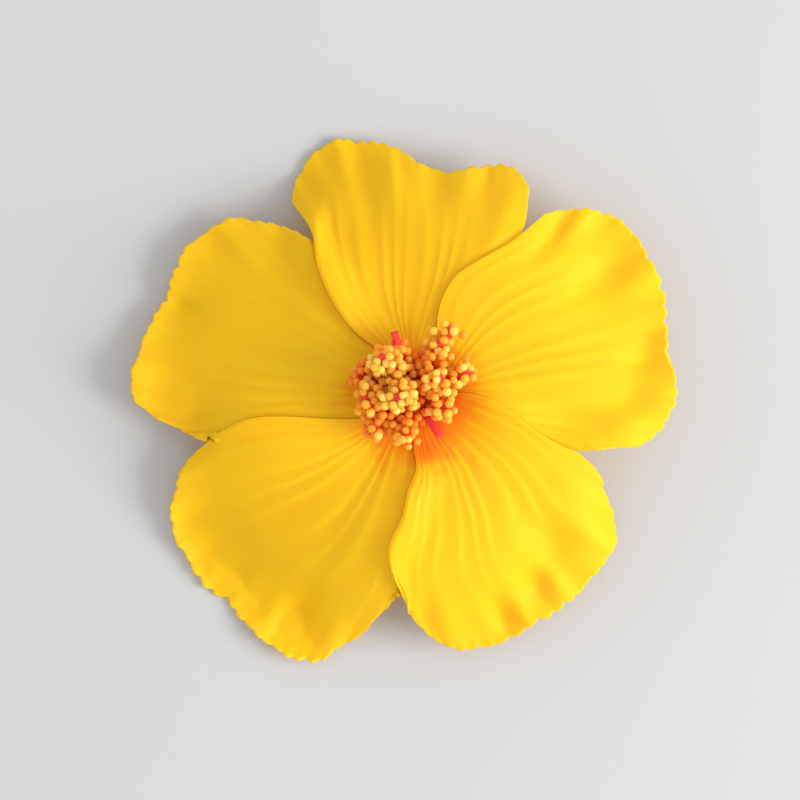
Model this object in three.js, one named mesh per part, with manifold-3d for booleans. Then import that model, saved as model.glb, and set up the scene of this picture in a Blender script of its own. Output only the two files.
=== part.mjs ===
/**
 * Flower hair clip: a five-petal foam flower glued to a spring-loaded steel clip.
 * Units are millimetres and +Z is up. The flower faces up and the part rests on z = 0.
 */
import * as THREE from 'three';
import { mergeVertices } from 'three/addons/utils/BufferGeometryUtils.js';
import ManifoldModule from 'manifold-3d';

const wasm = await ManifoldModule();
wasm.setup();

// Flower
const THROAT = new THREE.Vector2(2.2, 0.5);
const FOAM_THICKNESS = 1.0;
const LAYER_GAP = 0.55;
const LAP_SLOPE = 1.1;
const DRAPE_SLOPE = 0.26;
const DRAPE_ROUND = 0.9;
const CLAW_RADIUS = 4.3;
const CLAW_HALF_ANGLE = 25;
const PETAL_HALF_ANGLE = 40;
const CUP_START = 4;
const CUP_FULL = 20;
const PETAL_COLUMNS = 20;
const PETAL_ROWS = 11;
const STATION_STEP = 12;
const FIRST_STATION = 4;
const LOOP_STEPS = 40;

// Stack under the flower
const PLATE_BOTTOM = 9.2;
const STEEL = 0.7;
const PLATE_TOP = PLATE_BOTTOM + STEEL;
const FELT_BOTTOM = PLATE_TOP + 0.6;
const GLUE_SOAK = 0.2;
const GLUE_HALF_LENGTH = 13.5;
const GLUE_HALF_WIDTH = 6.5;
const FELT_RADIUS = 16;
const FELT_TOP = FELT_BOTTOM + 1.5;
const HUB_RADIUS = 11;
const HUB_TOP = FELT_TOP + 1.5;
const HUB_HOLE_RADIUS = 3.7;

// Stamen
const COMB_CENTRE = new THREE.Vector2(THROAT.x - 0.1, THROAT.y + 0.4);
const COMB_RADIUS = 3.3;
const COMB_TOP = 18.6;
const FINGER_SIDE = 1.6;
const FINGER_STEPS = 5;
const FINGER_CENTRE = new THREE.Vector2(THROAT.x - 0.2, THROAT.y + 0.9);
const FINGER_ROOT_RADIUS = 2.3;
const FINGER_ROOT_Z = 17.2;
const FULL_LEAN = 12;
const SLEEVE_RADIUS = 1.65;
const SLEEVE_CLEARANCE = 0.1;
const BEAD_RADIUS = 0.9;
const BEAD_RING_RADIUS = 1.75;
const BEAD_PITCH = 2.0;
const BEADS_PER_RING = 5;
const BEAD_GAP = 0.12;
const BEADED_SPAN = [0.42, 0.97];
const SLEEVE_SPAN = [0.42, 0.94];

// Clip
const HINGE_X = 6;
const HINGE_Z = 6.6;
const PIN_RADIUS = 0.75;
const PIN_HOLE_RADIUS = 0.83;
const PIN_HALF_LENGTH = 4.35;
const PIN_HEAD_RADIUS = 1.25;
const PIN_HEAD_THICKNESS = 0.5;
const PLATE_EAR_OUTER = 4.0;
const LEVER_EAR_OUTER = 3.1;
const EAR_RADIUS = 1.6;
const EAR_OVERLAP = 0.2;
const TEETH = 5;
const TOOTH_PITCH = 2;
const TOOTH_ROOT = 0.2;
const TOOTH_DEPTH = 0.8;
const LIP_INNER = 2.2;
const LIP_THICKNESS = 0.6;
const CLIP_TIP_X = -24;
const CLIP_HANDLE_X = 24;
const COIL_RADIUS = 1.65;
const WIRE_RADIUS = 0.4;
const COIL_TURNS = 3.5;
const COIL_PITCH = 0.9;
const COIL_STEPS_PER_TURN = 12;
const WIRE_STEPS = 60;

/**
 * Each petal runs outwards from the throat.
 * angle: direction of its middle. ccw, cw: its side edges from the throat outwards.
 * rim: its outer edge from the ccw side to the cw side.
 * heights: upper surface every 12 mm from the throat. tilt: rise of the ccw edge over the cw edge.
 * cup: rise of both edges. dents: [x, y, radius, depth]. under: the petals that lie on top of it.
 */
const PETALS = {
  petal_lower_right: {
    angle: -55,
    ccw: [[10.7, 1.3], [15.7, 0.7], [20.8, -1.3], [26.9, -6.2], [32.0, -9.2], [35.6, -10.7]],
    rim: [
      [39.1, -14.3], [40.9, -18.8], [42.9, -24.5], [42.9, -29.9], [40.1, -33.8], [36.6, -38.1],
      [32.0, -42.1], [25.9, -45.8], [21.4, -48.8], [15.7, -50.4], [10.0, -50.4], [5.6, -47.8],
      [2.1, -44.2],
    ],
    cw: [[2.3, -8.8], [2.7, -13.9], [1.1, -18.0], [-0.1, -23.4], [-2.5, -28.5], [-2.7, -32.6], [0.5, -40.1]],
    heights: [16.8, 18.9, 18.7, 14.6, 6.5],
    tilt: 0,
    cup: 0.8,
    dents: [
      [22.3, -43.7, 5, 1.2], [25.8, -38.2, 4, 1.0], [29.5, -31.6, 4, 1.4], [35.0, -19.0, 6, -1.0],
      [42.0, -34.0, 8, -3.6], [31.0, -47.0, 8, -2.8],
    ],
    under: [],
  },
  petal_right: {
    angle: 15,
    ccw: [[6.6, 11.5], [7.6, 19.4], [10.7, 24.9], [15.7, 28.3], [21.8, 31.8], [28.9, 37.7]],
    rim: [
      [34.4, 38.5], [39.5, 38.1], [44.6, 35.8], [47.8, 32.0], [50.4, 27.3], [52.5, 22.2],
      [53.1, 16.1], [53.3, 9.6], [55.1, 4.0], [54.5, -1.1], [51.9, -5.6], [48.2, -9.0], [42.1, -9.6],
    ],
    cw: [[12.7, -2.5], [21.8, -6.2], [29.9, -9.2], [35.6, -10.3]],
    heights: [16.2, 17.9, 18.5, 16.0, 11.6],
    tilt: 0.3,
    cup: 0,
    dents: [
      [32.2, 35.4, 4, 1.0], [40.0, 32.8, 4, 1.0], [40.4, 21.6, 5, 1.4], [51.0, 9.0, 4, 1.2],
      [45.6, 0.4, 4, 1.3], [58.0, 10.0, 9, -2.8], [54.0, -5.0, 9, -3.6], [39.0, -14.0, 8, -2.8],
    ],
    under: ['petal_lower_right'],
  },
  petal_lower_left: {
    angle: -133,
    ccw: [[4.4, -11.2], [5.8, -20.0], [4.4, -30.2], [-1.1, -39.1]],
    rim: [
      [-2.9, -41.9], [-5.6, -44.6], [-8.2, -47.8], [-12.5, -50.2], [-16.3, -52.9], [-20.8, -52.9],
      [-25.9, -50.6], [-31.4, -46.2], [-35.8, -41.1], [-40.1, -38.1], [-43.7, -32.6], [-46.2, -28.5],
      [-47.2, -22.8], [-46.0, -17.8], [-44.2, -12.9], [-40.5, -9.4],
    ],
    cw: [[-7.6, -3.6], [-14.7, -3.8], [-23.9, -3.3], [-31.0, -3.8], [-36.6, -6.2]],
    heights: [15.6, 16.4, 14.8, 10.2, 1.4],
    tilt: -0.2,
    cup: 1.7,
    dents: [[-19.8, -42.7, 5, 1.2], [-37.6, -38.6, 5, 1.3], [-9.2, -23.4, 5, 0.8], [-48.0, -19.0, 9, -4.0]],
    under: ['petal_lower_right'],
  },
  petal_top: {
    angle: 91,
    ccw: [[-4.2, 9.5], [-9.6, 13.8], [-13.6, 19.0], [-17.2, 27.0], [-18.4, 34.0], [-22.6, 40.5]],
    rim: [
      [-21.6, 45.0], [-19.0, 49.6], [-13.9, 53.1], [-8.2, 52.7], [-2.5, 51.9], [1.5, 49.6],
      [5.6, 47.2], [10.3, 46.3], [14.7, 47.2], [18.8, 47.4], [22.4, 47.2],
    ],
    cw: [[6.6, 10.0], [13.7, 18.2], [20.8, 27.9], [24.5, 34.8], [25.7, 43.1]],
    heights: [15.3, 15.8, 15.2, 9.8, 0.7],
    tilt: -1.2,
    cup: 2.2,
    dents: [[-5.6, 46.6, 5, 1.6], [7.6, 45.0, 5, 1.4], [-14.0, 44, 6, -1.0], [16, 42, 5, -0.8]],
    under: ['petal_right'],
  },
  petal_left: {
    angle: 165,
    ccw: [[-6.5, -3.4], [-14.7, -6.8], [-22.8, -8.2], [-32.0, -8.2], [-37.7, -6.4]],
    rim: [
      [-42.1, -6.8], [-47.6, -5.0], [-51.3, -2.9], [-54.7, 0.5], [-55.1, 5.0], [-53.3, 10.7],
      [-51.3, 15.7], [-48.2, 20.6], [-46.0, 27.3], [-43.7, 31.4], [-39.9, 34.2], [-35.0, 37.0],
      [-31.4, 36.6], [-23.9, 35.0],
    ],
    cw: [[-2.4, 8.6], [-6.0, 15.4], [-11.8, 23.4], [-18.4, 32.4]],
    heights: [15.2, 15.4, 13.4, 9.8, 5.4],
    tilt: -0.2,
    cup: 1.1,
    dents: [[-46.4, 19.6, 5, 1.3], [-24.2, 31.6, 5, 1.1], [-40.5, -4.2, 5, 1.0], [-53.0, 6, 5, -1.2]],
    under: ['petal_top', 'petal_lower_left'],
  },
};

/** Fingers of the stamen: tip is [x, y, z], beads the bare finger's stray beads where it has them. */
const FINGERS = [
  { tip: [-1.6, 13.4, 24.6] },
  { tip: [9.6, 14.4, 26.0] },
  { tip: [13.2, 5.6, 24.5] },
  { tip: [7.6, 4.3, 30.2] },
  { tip: [9.6, -1.4, 25.6] },
  { tip: [7.6, -7.2, 21.6], stray: [0.5, 0.66] },
  { tip: [0.2, -8.4, 25.6] },
  { tip: [-6.3, -6.0, 23.6] },
  { tip: [-7.9, 0.2, 27.4] },
  { tip: [-8.9, 6.0, 23.2] },
  { tip: [-4.2, 8.6, 29.4] },
  { tip: [-1.1, 0.5, 31.8] },
];

const steel = new THREE.MeshStandardMaterial({ color: 0xc9ccd0, metalness: 1, roughness: 0.3 });
const springSteel = new THREE.MeshStandardMaterial({ color: 0x9a9da1, metalness: 1, roughness: 0.35 });
const yellowFoam = new THREE.MeshStandardMaterial({ color: 0xfde03a, roughness: 0.85 });
const redFoam = new THREE.MeshStandardMaterial({ color: 0xe8483f, roughness: 0.85 });
const beadOrange = new THREE.MeshStandardMaterial({ color: 0xfab53f, roughness: 0.45 });
const felt = new THREE.MeshStandardMaterial({ color: 0xf0ead8, roughness: 0.95 });
const hotGlue = new THREE.MeshStandardMaterial({ color: 0xe6dfc8, roughness: 0.4 });

/** Turns a closed three.js geometry into a manifold solid. */
function solid(geometry) {
  const plain = geometry.clone();
  plain.deleteAttribute('normal');
  plain.deleteAttribute('uv');
  const merged = mergeVertices(plain, 1e-4);
  return new wasm.Manifold(new wasm.Mesh({
    numProp: 3,
    vertProperties: new Float32Array(merged.attributes.position.array),
    triVerts: new Uint32Array(merged.index.array),
  }));
}

/** Turns a manifold solid into a named mesh. */
function meshOf(name, body, material) {
  const raw = body.getMesh();
  const geometry = new THREE.BufferGeometry();
  geometry.setAttribute('position', new THREE.BufferAttribute(raw.vertProperties, 3));
  geometry.setIndex(new THREE.BufferAttribute(raw.triVerts, 1));
  geometry.computeVertexNormals();
  const mesh = new THREE.Mesh(geometry, material.clone());
  mesh.name = name;
  return mesh;
}

/** Prism that stands on z = low with the outline of a shape in the XY plane. */
function plate(shape, low, high, curveSegments = 12) {
  const options = { depth: high - low, bevelEnabled: false, curveSegments };
  const geometry = new THREE.ExtrudeGeometry(shape, options);
  geometry.translate(0, 0, low);
  return solid(geometry);
}

/** Prism between y = low and y = high with the outline of a shape drawn in X and Z. */
function sidePlate(shape, low, high, curveSegments = 12) {
  const options = { depth: high - low, bevelEnabled: false, curveSegments };
  const geometry = new THREE.ExtrudeGeometry(shape, options);
  geometry.rotateX(Math.PI / 2);
  geometry.translate(0, high, 0);
  return solid(geometry);
}

/** Cylinder along Y centred on the hinge axis. */
function hingeCylinder(radius, low, high, segments = 24) {
  const geometry = new THREE.CylinderGeometry(radius, radius, high - low, segments);
  geometry.translate(HINGE_X, (low + high) / 2, HINGE_Z);
  return solid(geometry);
}

/** Shape through a list of points. */
function outline(points) {
  return new THREE.Shape(points.map(([x, y]) => new THREE.Vector2(x, y)));
}

/** Open planar spline through points. */
function planarCurve(points) {
  const ends = points.map(([x, y]) => new THREE.Vector3(x, y, 0));
  return new THREE.CatmullRomCurve3(ends, false, 'centripetal');
}

/** The four edge curves of a petal. */
function petalEdges(petal) {
  const claw = (turn) => {
    const angle = THREE.MathUtils.degToRad(petal.angle + turn);
    return [THROAT.x + CLAW_RADIUS * Math.cos(angle), THROAT.y + CLAW_RADIUS * Math.sin(angle)];
  };
  const clawCcw = claw(CLAW_HALF_ANGLE);
  const clawCw = claw(-CLAW_HALF_ANGLE);
  const rimPoints = [petal.ccw.at(-1), ...petal.rim, petal.cw.at(-1)];
  return {
    base: planarCurve([clawCcw, claw(0), clawCw]),
    rim: planarCurve(rimPoints),
    ccw: planarCurve([clawCcw, ...petal.ccw]),
    cw: planarCurve([clawCw, ...petal.cw]),
  };
}

/** Point of a petal's plan at u from its ccw to its cw side and v from throat to rim. */
function petalPlan(edges, u, v) {
  const point = new THREE.Vector3();
  point.addScaledVector(edges.ccw.getPointAt(v), 1 - u);
  point.addScaledVector(edges.cw.getPointAt(v), u);
  point.addScaledVector(edges.base.getPointAt(u), 1 - v);
  point.addScaledVector(edges.rim.getPointAt(u), v);
  point.addScaledVector(edges.base.getPoint(0), -(1 - u) * (1 - v));
  point.addScaledVector(edges.base.getPoint(1), -u * (1 - v));
  point.addScaledVector(edges.rim.getPoint(0), -(1 - u) * v);
  point.addScaledVector(edges.rim.getPoint(1), -u * v);
  return point;
}

/** Smooth height through stations that stand STATION_STEP apart. */
function stationHeight(heights, radius) {
  const place = (radius - FIRST_STATION) / STATION_STEP;
  const last = heights.length - 1;
  const cell = Math.min(Math.max(Math.floor(place), 0), last - 1);
  const t = Math.max(place - cell, 0);
  const h1 = heights[cell];
  const h2 = heights[cell + 1];
  const h0 = heights[Math.max(cell - 1, 0)];
  const h3 = heights[Math.min(cell + 2, last)];
  const bend = 2 * h0 - 5 * h1 + 4 * h2 - h3;
  const twist = -h0 + 3 * h1 - 3 * h2 + h3;
  return h1 + 0.5 * t * (h2 - h0 + t * (bend + t * twist));
}

/** Height of a petal's upper surface as if it lay alone. */
function freeHeight(petal, x, y) {
  const dx = x - THROAT.x;
  const dy = y - THROAT.y;
  const radius = Math.hypot(dx, dy);
  const turn = Math.atan2(dy, dx) - THREE.MathUtils.degToRad(petal.angle);
  const across = Math.atan2(Math.sin(turn), Math.cos(turn)) / THREE.MathUtils.degToRad(PETAL_HALF_ANGLE);
  const reach = THREE.MathUtils.smoothstep(radius, CUP_START, CUP_FULL);
  const tilted = petal.tilt * THREE.MathUtils.clamp(across, -1.2, 1.2);
  const cupped = petal.cup * Math.min(across * across, 1.4);
  let z = stationHeight(petal.heights, radius) + reach * (tilted + cupped);
  for (const [px, py, size, depth] of petal.dents) {
    const distance = (x - px) ** 2 + (y - py) ** 2;
    z -= depth * Math.exp(-distance / (size * size));
  }
  return z;
}

/** Distance from a point to a closed outline, negative inside it. */
function distanceOutside(loop, x, y) {
  let inside = false;
  let nearest = Infinity;
  for (let i = 0; i < loop.length; i += 1) {
    const a = loop[i];
    const b = loop[(i + 1) % loop.length];
    if ((a.y > y) !== (b.y > y) && x < a.x + ((y - a.y) / (b.y - a.y)) * (b.x - a.x)) {
      inside = !inside;
    }
    const span = (b.x - a.x) ** 2 + (b.y - a.y) ** 2;
    const dot = (x - a.x) * (b.x - a.x) + (y - a.y) * (b.y - a.y);
    const along = THREE.MathUtils.clamp(dot / span, 0, 1);
    const offX = x - a.x - along * (b.x - a.x);
    const offY = y - a.y - along * (b.y - a.y);
    nearest = Math.min(nearest, Math.hypot(offX, offY));
  }
  return inside ? -nearest : nearest;
}

/** Lowest height the upper surface may have, over the table, the felt and the hub. */
function supportHeight(x, y) {
  const radius = Math.hypot(x - THROAT.x, y - THROAT.y);
  const overHub = HUB_TOP + 0.1 - LAP_SLOPE * Math.max(radius - HUB_RADIUS - 1, 0);
  const overFelt = FELT_TOP + 0.1 - LAP_SLOPE * Math.max(Math.hypot(x, y) - FELT_RADIUS - 1, 0);
  return FOAM_THICKNESS + Math.max(overHub, overFelt, 0);
}

/** Larger of two heights, rounded over a width where they cross. */
function softMax(first, second, width) {
  return 0.5 * (first + second + Math.hypot(first - second, width));
}

/** Height of a petal's upper surface where it drapes against the petals that lie on it. */
function lappedHeight(name, x, y) {
  const petal = PETALS[name];
  let z = freeHeight(petal, x, y);
  for (const cover of petal.under) {
    const away = distanceOutside(loops[cover], x, y);
    const contact = lappedHeight(cover, x, y) - FOAM_THICKNESS - LAYER_GAP;
    z = softMax(z, contact - DRAPE_SLOPE * Math.abs(away), DRAPE_ROUND);
    z = Math.min(z, contact + LAP_SLOPE * Math.max(away, 0));
  }
  return Math.max(z, supportHeight(x, y));
}

/** Closed outline of a petal's plan. */
function petalLoop(edges) {
  const loop = [];
  const sides = [[edges.ccw, false], [edges.rim, false], [edges.cw, true], [edges.base, true]];
  for (const [curve, reverse] of sides) {
    for (let i = 0; i < LOOP_STEPS; i += 1) {
      const t = reverse ? 1 - i / LOOP_STEPS : i / LOOP_STEPS;
      loop.push(curve.getPointAt(t));
    }
  }
  return loop;
}

/** One petal: a closed sheet of foam between its upper and lower surfaces. */
function petalGeometry(name) {
  const edges = petalEdges(PETALS[name]);
  const columns = PETAL_COLUMNS + 1;
  const rows = PETAL_ROWS + 1;
  const layer = columns * rows;
  const positions = [];
  for (const drop of [0, FOAM_THICKNESS]) {
    for (let row = 0; row < rows; row += 1) {
      for (let column = 0; column < columns; column += 1) {
        const point = petalPlan(edges, column / PETAL_COLUMNS, row / PETAL_ROWS);
        positions.push(point.x, point.y, lappedHeight(name, point.x, point.y) - drop);
      }
    }
  }
  const index = [];
  for (let row = 0; row < PETAL_ROWS; row += 1) {
    for (let column = 0; column < PETAL_COLUMNS; column += 1) {
      const a = row * columns + column;
      const b = a + 1;
      const c = a + columns;
      const d = c + 1;
      index.push(a, b, c, b, d, c);
      index.push(a + layer, c + layer, b + layer, b + layer, c + layer, d + layer);
    }
  }
  const wall = (a, b) => index.push(a, a + layer, b, b, a + layer, b + layer);
  for (let column = 0; column < PETAL_COLUMNS; column += 1) {
    const rim = PETAL_ROWS * columns + column;
    wall(column, column + 1);
    wall(rim + 1, rim);
  }
  for (let row = 0; row < PETAL_ROWS; row += 1) {
    wall((row + 1) * columns, row * columns);
    wall(row * columns + PETAL_COLUMNS, (row + 1) * columns + PETAL_COLUMNS);
  }
  const geometry = new THREE.BufferGeometry();
  geometry.setAttribute('position', new THREE.Float32BufferAttribute(positions, 3));
  geometry.setIndex(index);
  geometry.computeVertexNormals();
  return geometry;
}

/** Centre line of a stamen finger, from inside the comb's roll to the tip. */
function fingerCurve(finger) {
  const [x, y, z] = finger.tip;
  const out = new THREE.Vector2(x, y).sub(FINGER_CENTRE);
  const lean = Math.min(out.length() / FULL_LEAN, 1);
  const root = out.clone().setLength(FINGER_ROOT_RADIUS * lean).add(FINGER_CENTRE);
  const middle = root.clone().lerp(new THREE.Vector2(x, y), 0.5);
  const rise = z - FINGER_ROOT_Z;
  return new THREE.CatmullRomCurve3([
    new THREE.Vector3(root.x, root.y, FINGER_ROOT_Z),
    new THREE.Vector3(root.x + 0.1 * out.x, root.y + 0.1 * out.y, FINGER_ROOT_Z + 0.38 * rise),
    new THREE.Vector3(middle.x, middle.y, z - 0.25 * rise),
    new THREE.Vector3(x, y, z),
  ]);
}

/** Square bar of foam along a curve. */
function bar(curve, side) {
  const half = side / 2;
  const square = outline([[-half, -half], [half, -half], [half, half], [-half, half]]);
  const options = { steps: FINGER_STEPS, bevelEnabled: false, extrudePath: curve };
  return solid(new THREE.ExtrudeGeometry(square, options));
}

/** The rolled foam comb: its core and all the fingers, one strip of foam. */
function stamenComb() {
  const geometry = new THREE.CylinderGeometry(COMB_RADIUS, COMB_RADIUS, COMB_TOP - FELT_TOP, 24);
  geometry.rotateX(Math.PI / 2);
  geometry.translate(COMB_CENTRE.x, COMB_CENTRE.y, (COMB_TOP + FELT_TOP) / 2);
  let body = solid(geometry);
  for (const finger of FINGERS) {
    body = body.add(bar(fingerCurve(finger), FINGER_SIDE));
  }
  return body;
}

/** Points along the part of each finger that carries beads. */
function axisPoints(curve, start, end, count) {
  return Array.from({ length: count }, (_, i) => curve.getPointAt(start + ((end - start) * i) / (count - 1)));
}

/** Bead centres of one finger, ring after ring, clear of every bead and finger already there. */
function beadCentres(finger, taken, otherAxes) {
  const curve = fingerCurve(finger);
  const [start, end] = finger.stray ?? BEADED_SPAN;
  const rings = Math.max(Math.round(((end - start) * curve.getLength()) / BEAD_PITCH), 1);
  const centres = [];
  for (let ring = 0; ring <= rings; ring += 1) {
    const t = start + ((end - start) * ring) / rings;
    const centre = curve.getPointAt(t);
    const along = curve.getTangentAt(t);
    const side = new THREE.Vector3(0, 0, 1).cross(along).normalize();
    const count = finger.stray ? 1 : BEADS_PER_RING;
    for (let i = 0; i < count; i += 1) {
      const angle = (i + (ring % 2) / 2) * ((2 * Math.PI) / BEADS_PER_RING);
      const bead = side.clone().multiplyScalar(BEAD_RING_RADIUS);
      bead.applyAxisAngle(along, finger.stray ? Math.PI : angle).add(centre);
      const clearOfBeads = taken.every((other) => other.distanceTo(bead) > 2 * BEAD_RADIUS + BEAD_GAP);
      const sleeveReach = SLEEVE_RADIUS + BEAD_RADIUS + BEAD_GAP;
      const clearOfAxes = otherAxes.every((other) => other.distanceTo(bead) > sleeveReach);
      if (clearOfBeads && clearOfAxes) {
        taken.push(bead);
        centres.push(bead);
      }
    }
  }
  return centres;
}

/** Glue sleeve round one finger with its beads. */
function pollenCluster(finger, taken, otherAxes) {
  const curve = fingerCurve(finger);
  const [start, end] = finger.stray ?? SLEEVE_SPAN;
  const path = new THREE.CatmullRomCurve3(axisPoints(curve, start, end, 7));
  const round = new THREE.Shape();
  round.absarc(0, 0, SLEEVE_RADIUS, 0, 2 * Math.PI);
  let body = solid(new THREE.ExtrudeGeometry(round, {
    steps: 4, bevelEnabled: false, extrudePath: path, curveSegments: 3,
  }));
  for (const centre of beadCentres(finger, taken, otherAxes)) {
    const bead = new THREE.IcosahedronGeometry(BEAD_RADIUS, 0);
    bead.translate(centre.x, centre.y, centre.z);
    body = body.add(solid(bead));
  }
  return body.subtract(bar(curve, FINGER_SIDE + 2 * SLEEVE_CLEARANCE));
}

/** Hub washer with a hole for the comb. */
function petalHub() {
  const shape = new THREE.Shape();
  shape.absarc(THROAT.x, THROAT.y, HUB_RADIUS, 0, 2 * Math.PI);
  const hole = new THREE.Path();
  hole.absarc(COMB_CENTRE.x, COMB_CENTRE.y, HUB_HOLE_RADIUS, 0, 2 * Math.PI);
  shape.holes.push(hole);
  return plate(shape, FELT_TOP, HUB_TOP, 20);
}

/** Bed of glue squeezed out between the clip and the felt, soaked a little way into the felt. */
function glueBed() {
  const shape = new THREE.Shape();
  shape.absellipse(-0.5, 0, GLUE_HALF_LENGTH, GLUE_HALF_WIDTH, 0, 2 * Math.PI);
  return plate(shape, PLATE_TOP, FELT_BOTTOM + GLUE_SOAK, 16);
}

/** Round felt patch with the hollow that the glue fills. */
function feltBacking() {
  const shape = new THREE.Shape();
  shape.absarc(0, 0, FELT_RADIUS, 0, 2 * Math.PI);
  return plate(shape, FELT_BOTTOM, FELT_TOP, 28).subtract(glueBed());
}

/** Hole for the pin through both ears. */
function pinHole() {
  return hingeCylinder(PIN_HOLE_RADIUS, -6, 6);
}

/** Closed plan of a jaw from its upper half's points, with a blunt tip. */
function jawPlan(half, tipHalfWidth) {
  const mirrored = half.map(([x, y]) => [x, -y]).reverse();
  const points = [[CLIP_TIP_X, tipHalfWidth], ...half, ...mirrored, [CLIP_TIP_X, -tipHalfWidth]];
  return outline(points.reverse());
}

/** Plate of steel in the XZ plane whose outer face is at outer on one side of the clip. */
function earPlate(shape, side, outer) {
  const faces = [side * outer, side * (outer - STEEL)];
  return sidePlate(shape, Math.min(...faces), Math.max(...faces));
}

/** Ear that hangs from or stands on a jaw and holds the pin, as an outline in X and Z. */
function earShape(edgeZ, halfWidth) {
  const shape = new THREE.Shape();
  const towards = Math.sign(edgeZ - HINGE_Z);
  shape.moveTo(HINGE_X - halfWidth, edgeZ);
  shape.lineTo(HINGE_X - EAR_RADIUS, HINGE_Z);
  shape.absarc(HINGE_X, HINGE_Z, EAR_RADIUS, Math.PI, 0, towards < 0);
  shape.lineTo(HINGE_X + halfWidth, edgeZ);
  shape.closePath();
  return shape;
}

/** Upper jaw: flat plate, two ears for the pin and toothed lips near the tip. */
function clipPlate() {
  const half = [
    [CLIP_TIP_X + 0.8, 2.9], [-12, 3.1], [-4, 3.4], [1, PLATE_EAR_OUTER], [11, PLATE_EAR_OUTER],
    [16, 4.4], [20, 4.2], [CLIP_HANDLE_X - 1.4, 3.2], [CLIP_HANDLE_X, 1.6],
  ];
  let body = plate(jawPlan(half, 2.1), PLATE_BOTTOM, PLATE_TOP);
  const lipStart = CLIP_TIP_X + 1;
  const lipEnd = lipStart + TOOTH_PITCH * TEETH;
  const lip = [[lipStart, PLATE_BOTTOM + EAR_OVERLAP]];
  for (let tooth = 0; tooth < TEETH; tooth += 1) {
    const root = lipStart + TOOTH_PITCH * tooth;
    lip.push([root, PLATE_BOTTOM - TOOTH_ROOT], [root + TOOTH_PITCH / 2, PLATE_BOTTOM - TOOTH_DEPTH]);
  }
  lip.push([lipEnd, PLATE_BOTTOM - TOOTH_ROOT], [lipEnd, PLATE_BOTTOM + EAR_OVERLAP]);
  for (const side of [-1, 1]) {
    body = body.add(earPlate(earShape(PLATE_BOTTOM + EAR_OVERLAP, 4.2), side, PLATE_EAR_OUTER));
    const low = side > 0 ? LIP_INNER : -LIP_INNER - LIP_THICKNESS;
    body = body.add(sidePlate(outline(lip), low, low + LIP_THICKNESS));
  }
  return body.subtract(pinHole());
}

/** Lower jaw: bent strip from tip to finger pad with two ears inside the plate's ears. */
function clipLever() {
  const run = [
    [CLIP_TIP_X, 7.5], [-14, 6.9], [-4, 4.4], [2, 3.3], [9, 3.0], [13, 2.6],
    [CLIP_HANDLE_X - 2.5, 0.05], [CLIP_HANDLE_X, 0],
  ];
  const top = run.map(([x, z]) => [x, z + STEEL]).reverse();
  const strip = sidePlate(outline([...run, ...top]), -6, 6);
  const half = [
    [CLIP_TIP_X + 0.8, 2.7], [-12, 2.8], [-2, LEVER_EAR_OUTER], [11, LEVER_EAR_OUTER],
    [14, 4.0], [20, 4.2], [CLIP_HANDLE_X - 1.4, 3.2], [CLIP_HANDLE_X, 1.6],
  ];
  let body = strip.intersect(plate(jawPlan(half, 2.0), -1, 12));
  for (const side of [-1, 1]) {
    body = body.add(earPlate(earShape(3.35, 3.4), side, LEVER_EAR_OUTER));
  }
  return body.subtract(pinHole());
}

/** Rivet with a head at each end. */
function hingePin() {
  const reach = PIN_HALF_LENGTH;
  const head = PIN_HEAD_THICKNESS / 2;
  let body = hingeCylinder(PIN_RADIUS, -reach, reach);
  body = body.add(hingeCylinder(PIN_HEAD_RADIUS, reach - head, reach + head));
  return body.add(hingeCylinder(PIN_HEAD_RADIUS, -reach - head, -reach + head));
}

/** Torsion spring: coil round the pin, one leg along the plate and one along the lever. */
function clipSpring() {
  const points = [new THREE.Vector3(17, -1.6, 8.7), new THREE.Vector3(12, -1.6, 8.62)];
  const steps = COIL_TURNS * COIL_STEPS_PER_TURN;
  for (let i = 0; i <= steps; i += 1) {
    const angle = Math.PI / 2 + (2 * Math.PI * i) / COIL_STEPS_PER_TURN;
    const x = HINGE_X + COIL_RADIUS * Math.cos(angle);
    const y = -(COIL_TURNS * COIL_PITCH) / 2 + (COIL_PITCH * i) / COIL_STEPS_PER_TURN;
    points.push(new THREE.Vector3(x, y, HINGE_Z + COIL_RADIUS * Math.sin(angle)));
  }
  for (const [x, z] of [[10, 4.4], [14, 3.62], [17, 2.95]]) {
    points.push(new THREE.Vector3(x, 1.6, z));
  }
  const wire = new THREE.Shape();
  wire.absarc(0, 0, WIRE_RADIUS, 0, 2 * Math.PI);
  const path = new THREE.CatmullRomCurve3(points, false, 'centripetal');
  return solid(new THREE.ExtrudeGeometry(wire, {
    steps: WIRE_STEPS, bevelEnabled: false, extrudePath: path, curveSegments: 3,
  }));
}

const loops = {};
for (const [name, petal] of Object.entries(PETALS)) {
  loops[name] = petalLoop(petalEdges(petal));
}

const flower = new THREE.Group();
flower.name = 'flower_hair_clip';
for (const name of Object.keys(PETALS)) {
  const mesh = new THREE.Mesh(petalGeometry(name), yellowFoam.clone());
  mesh.name = name;
  flower.add(mesh);
}
flower.add(meshOf('petal_hub', petalHub(), yellowFoam));
flower.add(meshOf('stamen_comb', stamenComb(), redFoam));

const axes = FINGERS.map((finger) => axisPoints(fingerCurve(finger), finger.stray ? 0 : 0.35, 1, 15));
const taken = [];
FINGERS.forEach((finger, i) => {
  const others = axes.filter((_, j) => j !== i).flat();
  const name = `pollen_cluster_${String(i + 1).padStart(2, '0')}`;
  flower.add(meshOf(name, pollenCluster(finger, taken, others), beadOrange));
});

flower.add(meshOf('felt_backing', feltBacking(), felt));
flower.add(meshOf('glue_bed', glueBed(), hotGlue));
flower.add(meshOf('clip_plate', clipPlate(), steel));
flower.add(meshOf('clip_lever', clipLever(), steel));
flower.add(meshOf('hinge_pin', hingePin(), steel));
flower.add(meshOf('clip_spring', clipSpring(), springSteel));

export default flower;
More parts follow.
